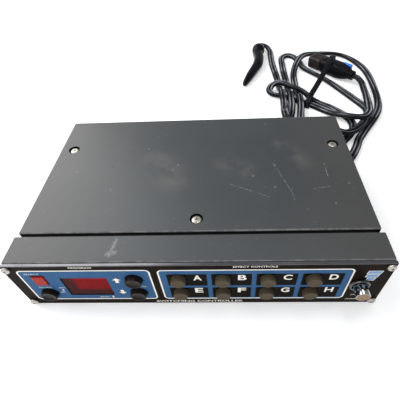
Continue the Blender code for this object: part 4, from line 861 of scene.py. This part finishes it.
def evaluated_mesh(item):
    """The mesh that an object's modifiers or its text make."""
    bpy.context.view_layer.update()
    return bpy.data.meshes.new_from_object(item.evaluated_get(bpy.context.evaluated_depsgraph_get()))


def subtract(shape, cutter):
    """Replace a bmesh by itself less another, through Blender's exact Boolean."""
    kept = new_object("kept", as_mesh("kept", shape))
    tool = new_object("cutter", as_mesh("cutter", cutter))
    cut = kept.modifiers.new("cut", "BOOLEAN")
    cut.solver = "EXACT"
    cut.object = tool
    result = evaluated_mesh(kept)
    shape.clear()
    shape.from_mesh(result)
    cutter.free()
    for item in (kept, tool):
        old = item.data
        bpy.data.objects.remove(item)
        bpy.data.meshes.remove(old)
    bpy.data.meshes.remove(result)


def letters(shape, words, centre, size, weight, reads=1):
    """Add flat lettering of a given size, centred on a point; it reads along +X, or -X with reads=-1."""
    curve = bpy.data.curves.new("words", "FONT")
    curve.body = words
    curve.offset = weight
    curve.resolution_u = 4
    text = new_object("words", curve)
    mesh = evaluated_mesh(text)
    bpy.data.objects.remove(text)
    bpy.data.curves.remove(curve)
    xs = [v.co.x for v in mesh.vertices]
    ys = [v.co.y for v in mesh.vertices]
    left, bottom = min(xs), min(ys)
    wide, high = max(xs) - left, max(ys) - bottom
    for vertex in mesh.vertices:
        share_x = (vertex.co.x - left) / wide - 0.5
        share_z = (vertex.co.y - bottom) / high - 0.5
        vertex.co = Vector(centre) + Vector((reads * share_x * size[0], 0, share_z * size[1]))
    shape.from_mesh(mesh)
    bpy.data.meshes.remove(mesh)


def arrow(shape, centre, size, turn):
    """A block arrow on the panel's face, which points up where turn is 1 and down where it is -1."""
    outline = [(0.0, 0.5), (0.5, 0.05), (0.2, 0.05), (0.2, -0.5), (-0.2, -0.5), (-0.2, 0.05), (-0.5, 0.05)]
    corners = []
    for x, z in outline:
        corners.append(shape.verts.new(Vector(centre) + Vector((x * size[0], 0, turn * z * size[1]))))
    shape.faces.new(corners)


def build_lettering():
    """Cream print on the panel: letters A to H, plain function words and four arrows."""
    y = FRONT_Y - PRINT_LIFT
    shape = bmesh.new()
    for index, letter in enumerate(CHANNELS.upper()):
        x = FIRST_COLUMN_X + COLUMN_PITCH * (index % 4) + LETTER_OFFSET
        letters(shape, letter, (x, y, LETTER_ROWS[index // 4]), LETTER_SIZE, 0.025)
    for words, x, z, width, height, weight in PANEL_WORDS:
        letters(shape, words, (x, y, z), (width, height), weight)
    for x, z, size, turn in PANEL_ARROWS:
        arrow(shape, (x, y, z), size, turn)
    finish_piece("panel_lettering", shape, look=CREAM_INK)


def build_panel_mark():
    """Three slanted bars, blue with a cream edge."""
    cream = bmesh.new()
    blue = bmesh.new()
    for row, (shift, width) in enumerate(((0.0, 0.007), (-0.0004, 0.0062), (-0.0004, 0.004))):
        for shape, edge, layer in ((cream, 0.0004, 1), (blue, 0.0, 2)):
            x = MARK_X + shift
            z = MARK_TOP_Z - row * BAR_PITCH
            y = FRONT_Y - PRINT_LIFT * layer
            half = width / 2 + edge
            up = BAR_HEIGHT / 2 + edge
            corners = [(-half - LEAN, -up), (half - LEAN, -up), (half + LEAN, up), (-half + LEAN, up)]
            shape.faces.new([shape.verts.new((x + a, y, z + u)) for a, u in corners])
    finish_piece("mark_edge", cream, look=CREAM_INK)
    finish_piece("mark_bars", blue, look=BLUE_INK)


def build_rear_lettering():
    """Small generic words over the rear fittings."""
    shape = bmesh.new()
    for node, words, width in REAR_WORDS:
        place = (middle(node).x, REAR_Y + PRINT_LIFT, REAR_WORDS_Z)
        letters(shape, words, place, (width, 0.0018), 0.0, reads=-1)
    finish_piece("rear_lettering", shape, look=CREAM_INK)


def smooth_line(points, steps, spread):
    """Places on a smooth curve through the points; spread 0 takes them as evenly spaced, 0.5 by distance."""
    spots = [Vector(point) for point in points]
    spots = [2 * spots[0] - spots[1]] + spots + [2 * spots[-1] - spots[-2]]
    line = []
    for a, b, c, d in zip(spots, spots[1:], spots[2:], spots[3:]):
        t1 = (b - a).length ** spread
        t2 = t1 + (c - b).length ** spread
        t3 = t2 + (d - c).length ** spread
        for step in range(steps):
            t = t1 + (t2 - t1) * step / steps
            ab = a.lerp(b, t / t1)
            bc = b.lerp(c, (t - t1) / (t2 - t1))
            cd = c.lerp(d, (t - t2) / (t3 - t2))
            later = bc.lerp(cd, (t - t1) / (t3 - t1))
            line.append(ab.lerp(bc, t / t2).lerp(later, (t - t1) / (t2 - t1)))
    line.append(spots[-2])
    return line


def evenly_spaced(line, step):
    """The same line with a point at every step along it, and its length."""
    lengths = [0.0, *accumulate((here - before).length for before, here in zip(line, line[1:]))]
    count = round(lengths[-1] / step)
    spaced = []
    index = 0
    for number in range(count + 1):
        wanted = lengths[-1] * number / count
        while index < len(lengths) - 2 and lengths[index + 1] < wanted:
            index += 1
        share = (wanted - lengths[index]) / max(lengths[index + 1] - lengths[index], 1e-9)
        spaced.append(line[index].lerp(line[index + 1], share))
    return spaced, lengths[-1]


def with_directions(places):
    """Each place of a line, with the direction of the line there."""
    last = len(places) - 1
    for index, place in enumerate(places):
        yield place, places[min(index + 1, last)] - places[max(index - 1, 0)]


def hank_points(steps=4):
    """The folds of the spare length, each a half turn between two runs along X."""
    points = []
    for number, (here, there) in enumerate(zip(HANK_RUNS_Y, HANK_RUNS_Y[1:])):
        side = 1 if number % 2 else -1
        end_x = HANK_RIGHT_X if number % 2 else HANK_LEFT_X
        middle_y = (here + there) / 2
        for step in range(steps + 1):
            angle = pi * step / steps
            x = end_x + side * abs(here - middle_y) * sin(angle)
            points.append((x, middle_y + (here - middle_y) * cos(angle), CORD_REST_Z))
    return points


def twin_outline(steps=15):
    """The cord's section: two round cores side by side, as (across, up) points."""
    meet = acos(-CORE_SPREAD / CORE_RADIUS)
    spots = []
    for side in (1, -1):
        for step in range(steps):
            angle = -meet + 2 * meet * step / (steps - 1)
            across = side * (CORE_SPREAD + CORE_RADIUS * cos(angle))
            spot = Vector((across, side * CORE_RADIUS * sin(angle)))
            if all((spot - other).length > 1e-5 for other in spots):
                spots.append(spot)
    return spots


def build_cord(name, route, node):
    line = smooth_line(route, 24, 0.5)
    for place in line:
        place.z = max(place.z, CORD_REST_Z)
    path, length = evenly_spaced(line, CORD_STEP)
    outline = twin_outline()
    rings = []
    for index, (place, direction) in enumerate(with_directions(path)):
        along = direction.normalized()
        across = along.cross(UP).normalized()
        up = across.cross(along)
        roll = CORD_ROLL * sin(2 * pi * index * CORD_STEP / ROLL_LENGTH)
        side = across * cos(roll) + up * sin(roll)
        rise = up * cos(roll) - across * sin(roll)
        rings.append([place + side * a + rise * u for a, u in outline])
    cord = finish_piece(name, loft(rings), "lead_rubber", [node], angle=60.0)
    # Where the highlight is painted: 1 at the tops of the cores, falling to 0 below them.
    ridge = cord.data.attributes.new(RIDGE, "FLOAT", "POINT")
    for index, mark in enumerate(ridge.data):
        up = outline[index % len(outline)][1] / CORE_RADIUS
        mark.value = max(0.0, (up - RIDGE_START) / (1.0 - RIDGE_START))
    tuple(route[0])
    [tuple(place) for place in path]


def squared_ring(x, width, height, power):
    """A ring round the mains plug's axis, between an ellipse and a rectangle; a lower power is squarer."""
    ring = []
    for step in range(RING_SIDES):
        angle = 2 * pi * step / RING_SIDES
        across, up = (copysign(abs(v) ** power, v) for v in (cos(angle), sin(angle)))
        ring.append(PLUG_FRAME @ Vector((x, across * width / 2, up * height / 2)))
    return ring


def plug_section(share):
    """The mains plug's width and height at a place along it, as parts of their largest."""
    if share < NECK_END:
        rib = 0.9 if sin((share + 0.5) * 110) < -0.1 else 1.0
        grown = 0.43 * (share + 0.5)
        return (0.5 + grown) * rib, (0.56 + grown) * rib
    ease = sin(min((share - NECK_END) / 0.36, 1.0) * pi / 2)
    grip = 0.05 * exp(-(((share - 0.14) / 0.08) ** 2))
    round_off = 0.1 * max((share - 0.44) / 0.06, 0.0) ** 2
    return 0.58 + 0.42 * ease - grip - round_off, 0.64 + 0.36 * ease - round_off


def guard_section(share):
    """The blade cover's scale at a place along it: a soft near rim, grip ribs and a rounded far end."""
    if share < 0.08:
        return 0.93 + 0.07 * sin(share / 0.08 * pi / 2)
    if share > 0.86:
        return 1.0 - 0.12 * (1 - cos((share - 0.86) / 0.14 * pi / 2))
    return 0.97 if 0.3 < share < 0.75 and sin(share * 60.0) < -0.1 else 1.0


def build_mains_plug():
    """A moulded plug with grip hollows, a ribbed neck and a blue inset."""
    rings = []
    count = 46
    for step in range(count + 1):
        share = step / count - 0.5
        wide, high = plug_section(share)
        x = share * PLUG_LENGTH
        rings.append(squared_ring(x, PLUG_WIDTH * wide, PLUG_HEIGHT * high, 0.6))
    body = finish_piece("mains_plug_body", loft(rings), "lead_rubber", ["mains_plug"])
    inset = bmesh.new()
    bmesh.ops.create_cube(inset, size=1.0, matrix=Matrix.Diagonal((*INSET_SIZE, 1.0)))
    bmesh.ops.bevel(inset, geom=inset.edges, offset=0.0009, segments=3, affect="EDGES", profile=0.6)
    inset.transform(PLUG_FRAME @ Matrix.Translation(INSET_PLACE))
    return [body, finish_piece("plug_inset", inset, look=BLUE_INSET)]


def add_blade(shape, side, room):
    """Add one blade's block, or the slot for it with some room on every side."""
    middle_y = side * BLADE_SPACING / 2
    across = BLADE_THICK / 2 + room
    up = BLADE_HEIGHT / 2 + room
    low = Vector((PLUG_END_X - room * 3, middle_y - across, -up))
    high = Vector((PLUG_END_X + BLADE_LENGTH + room, middle_y + across, up))
    centre = Matrix.Translation((low + high) / 2)
    bmesh.ops.create_cube(shape, size=1.0, matrix=centre @ Matrix.Diagonal((*(high - low), 1.0)))


def build_blade_guard():
    """A brown moulded cover over the plug's blades, with grip ribs round it."""
    rings = []
    count = 40
    for step in range(count + 1):
        scale = guard_section(step / count)
        x = PLUG_END_X + step / count * GUARD_LENGTH
        rings.append(squared_ring(x, GUARD_WIDTH * scale, GUARD_HEIGHT * scale, 0.4))
    shape = loft(rings)
    slots = bmesh.new()
    for side in (-1, 1):
        add_blade(slots, side, GAP)
    slots.transform(PLUG_FRAME)
    subtract(shape, slots)
    return finish_piece("blade_guard_body", shape, "brown_plastic", ["blade_guard"])


def build_blades():
    """Two flat blades with rounded tips and a hole in each."""
    pieces = []
    for number, side in enumerate((-1, 1), start=1):
        shape = bmesh.new()
        add_blade(shape, side, 0.0)
        tip_x = PLUG_END_X + BLADE_LENGTH - 1e-6
        tip = [edge for edge in shape.edges if all(v.co.x > tip_x for v in edge.verts)]
        bmesh.ops.bevel(shape, geom=tip, offset=0.0006, segments=3, affect="EDGES")
        centre = facing((0, 1, 0), (PLUG_END_X + 0.0115, side * BLADE_SPACING / 2 - 0.002, 0.0))
        subtract(shape, turned([(0.0014, 0.0), (0.0014, 0.004)], centre, 24))
        shape.transform(PLUG_FRAME)
        name = f"plug_blade_{number}"
        pieces.append(finish_piece(name + "_metal", shape, "brass", [name]))
    return pieces


def build_strain_relief():
    """A flange and a boot with grooves, which narrows along the mains lead."""
    flange, length, placed = turned_node("strain_relief", (0, 1, 0))
    profile = [(0.0, 0.0), (flange, 0.0), (flange, 0.003), (0.0048, 0.0036)]
    for rib in range(5):
        start = 0.005 + rib * 0.0032
        radius = 0.0048 - rib * 0.00026
        sunk = radius - 0.0007
        profile += [(radius, start), (radius, start + 0.0014), (sunk, start + 0.0018), (sunk, start + 0.0028)]
    profile += [(0.0036, length - 0.002), (0.0033, length), (0.0, length)]
    shape = turned(rounded(profile, 0.0004), placed)
    return finish_piece("strain_relief_boot", shape, "lead_rubber", ["strain_relief"])


def build_jack_plug():
    """The plug in the control jack: a tip and ring inside it, and a grooved grip with a soft tail."""
    centre = middle("control_plug")
    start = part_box("control_plug")[1].y - JACK_PLUG_LENGTH
    grip = 0.0055
    groove = 0.0051
    profile = [(0.0, -0.016), (0.0018, -0.0145), (0.0024, -0.0135), (0.002, -0.0125), (0.003, -0.0115)]
    profile += [(0.003, 0.0), (grip, 0.0), (grip, 0.002), (0.0053, 0.0024)]
    for number in range(6):
        at = 0.004 + number * 0.002
        profile += [(grip, at), (grip, at + 0.001), (groove, at + 0.0013), (groove, at + 0.0017)]
    profile += [(grip, 0.0165), (0.0043, 0.0185), (0.0036, 0.019)]
    profile += [(0.0032, JACK_PLUG_LENGTH), (0.0, JACK_PLUG_LENGTH)]
    shape = turned(rounded(profile, 0.0002, 2), facing((0, 1, 0), (centre.x, start, centre.z)))
    return finish_piece("control_plug_body", shape, "black_plastic", ["control_plug"])


def build_end_plug():
    """The long moulded plug: a narrow tip, a bent shaft and a wide head with a soft collar."""
    rings = []
    for station, direction in with_directions(smooth_line(END_PLUG_STATIONS, 8, 0.0)):
        across = Vector((direction.x, direction.y, 0.0)).cross(UP).normalized()
        turn = Matrix((across, UP, across.cross(UP))).transposed().to_4x4()
        rings.append(circle(station.w, 0.0, Matrix.Translation(station.xyz) @ turn, RING_SIDES))
    shape = loft(rings)
    rims = [edge for face in shape.faces if len(face.verts) == RING_SIDES for edge in face.edges]
    bmesh.ops.bevel(shape, geom=rims, offset=0.0007, segments=3, affect="EDGES")
    return finish_piece("end_plug_body", shape, "black_plastic", ["end_plug"], LOOKS["lead_rubber"])


def build_strap():
    """The flat rubber strap, with soft edges and a shallow groove along its middle."""
    run = Vector(STRAP_ROUTE[0]) - Vector(STRAP_ROUTE[-1])
    across = run.cross(UP).normalized()
    places = [Vector(STRAP_ROUTE[0])] + smooth_line(STRAP_ROUTE[1:], 5, 0.0)
    half = STRAP_WIDTH / 2
    thick = STRAP_THICK / 2
    outline = [(-half, -thick * 0.5), (-half * 0.92, -thick), (half * 0.92, -thick), (half, -thick * 0.5)]
    outline += [(half, thick * 0.5), (half * 0.92, thick), (half * 0.25, thick), (0.0, thick * 0.5)]
    outline += [(-half * 0.25, thick), (-half * 0.92, thick), (-half, thick * 0.5)]
    rings = []
    for place, direction in with_directions(places):
        up = across.cross(direction).normalized()
        rings.append([place + across * a + up * u for a, u in outline])
    return finish_piece("strap_band", loft(rings), "lead_rubber", ["lead_strap"], angle=60.0)


def build_leads():
    relief, jack_plug, end_plug = build_strain_relief(), build_jack_plug(), build_end_plug()
    on_lead = [relief, *build_mains_plug(), build_blade_guard(), *build_blades(), build_strap()]
    build_cord("mains_cord", LEAD_START + hank_points() + LEAD_END, "mains_lead")
    build_cord("control_cord", CONTROL_ROUTE, "control_lead")


def main():
    look_at_unit()
    studio()
    build_leads()
    dress_cad()
    build_caps()
    build_power_button()
    build_screws()
    build_lettering()
    build_panel_mark()
    build_rear_lettering()
    boxes = {"cad": CAD_BOUNDS, "visual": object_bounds()}
    sizes = {name: [list(corner) for corner in box] for name, box in boxes.items()}


main()
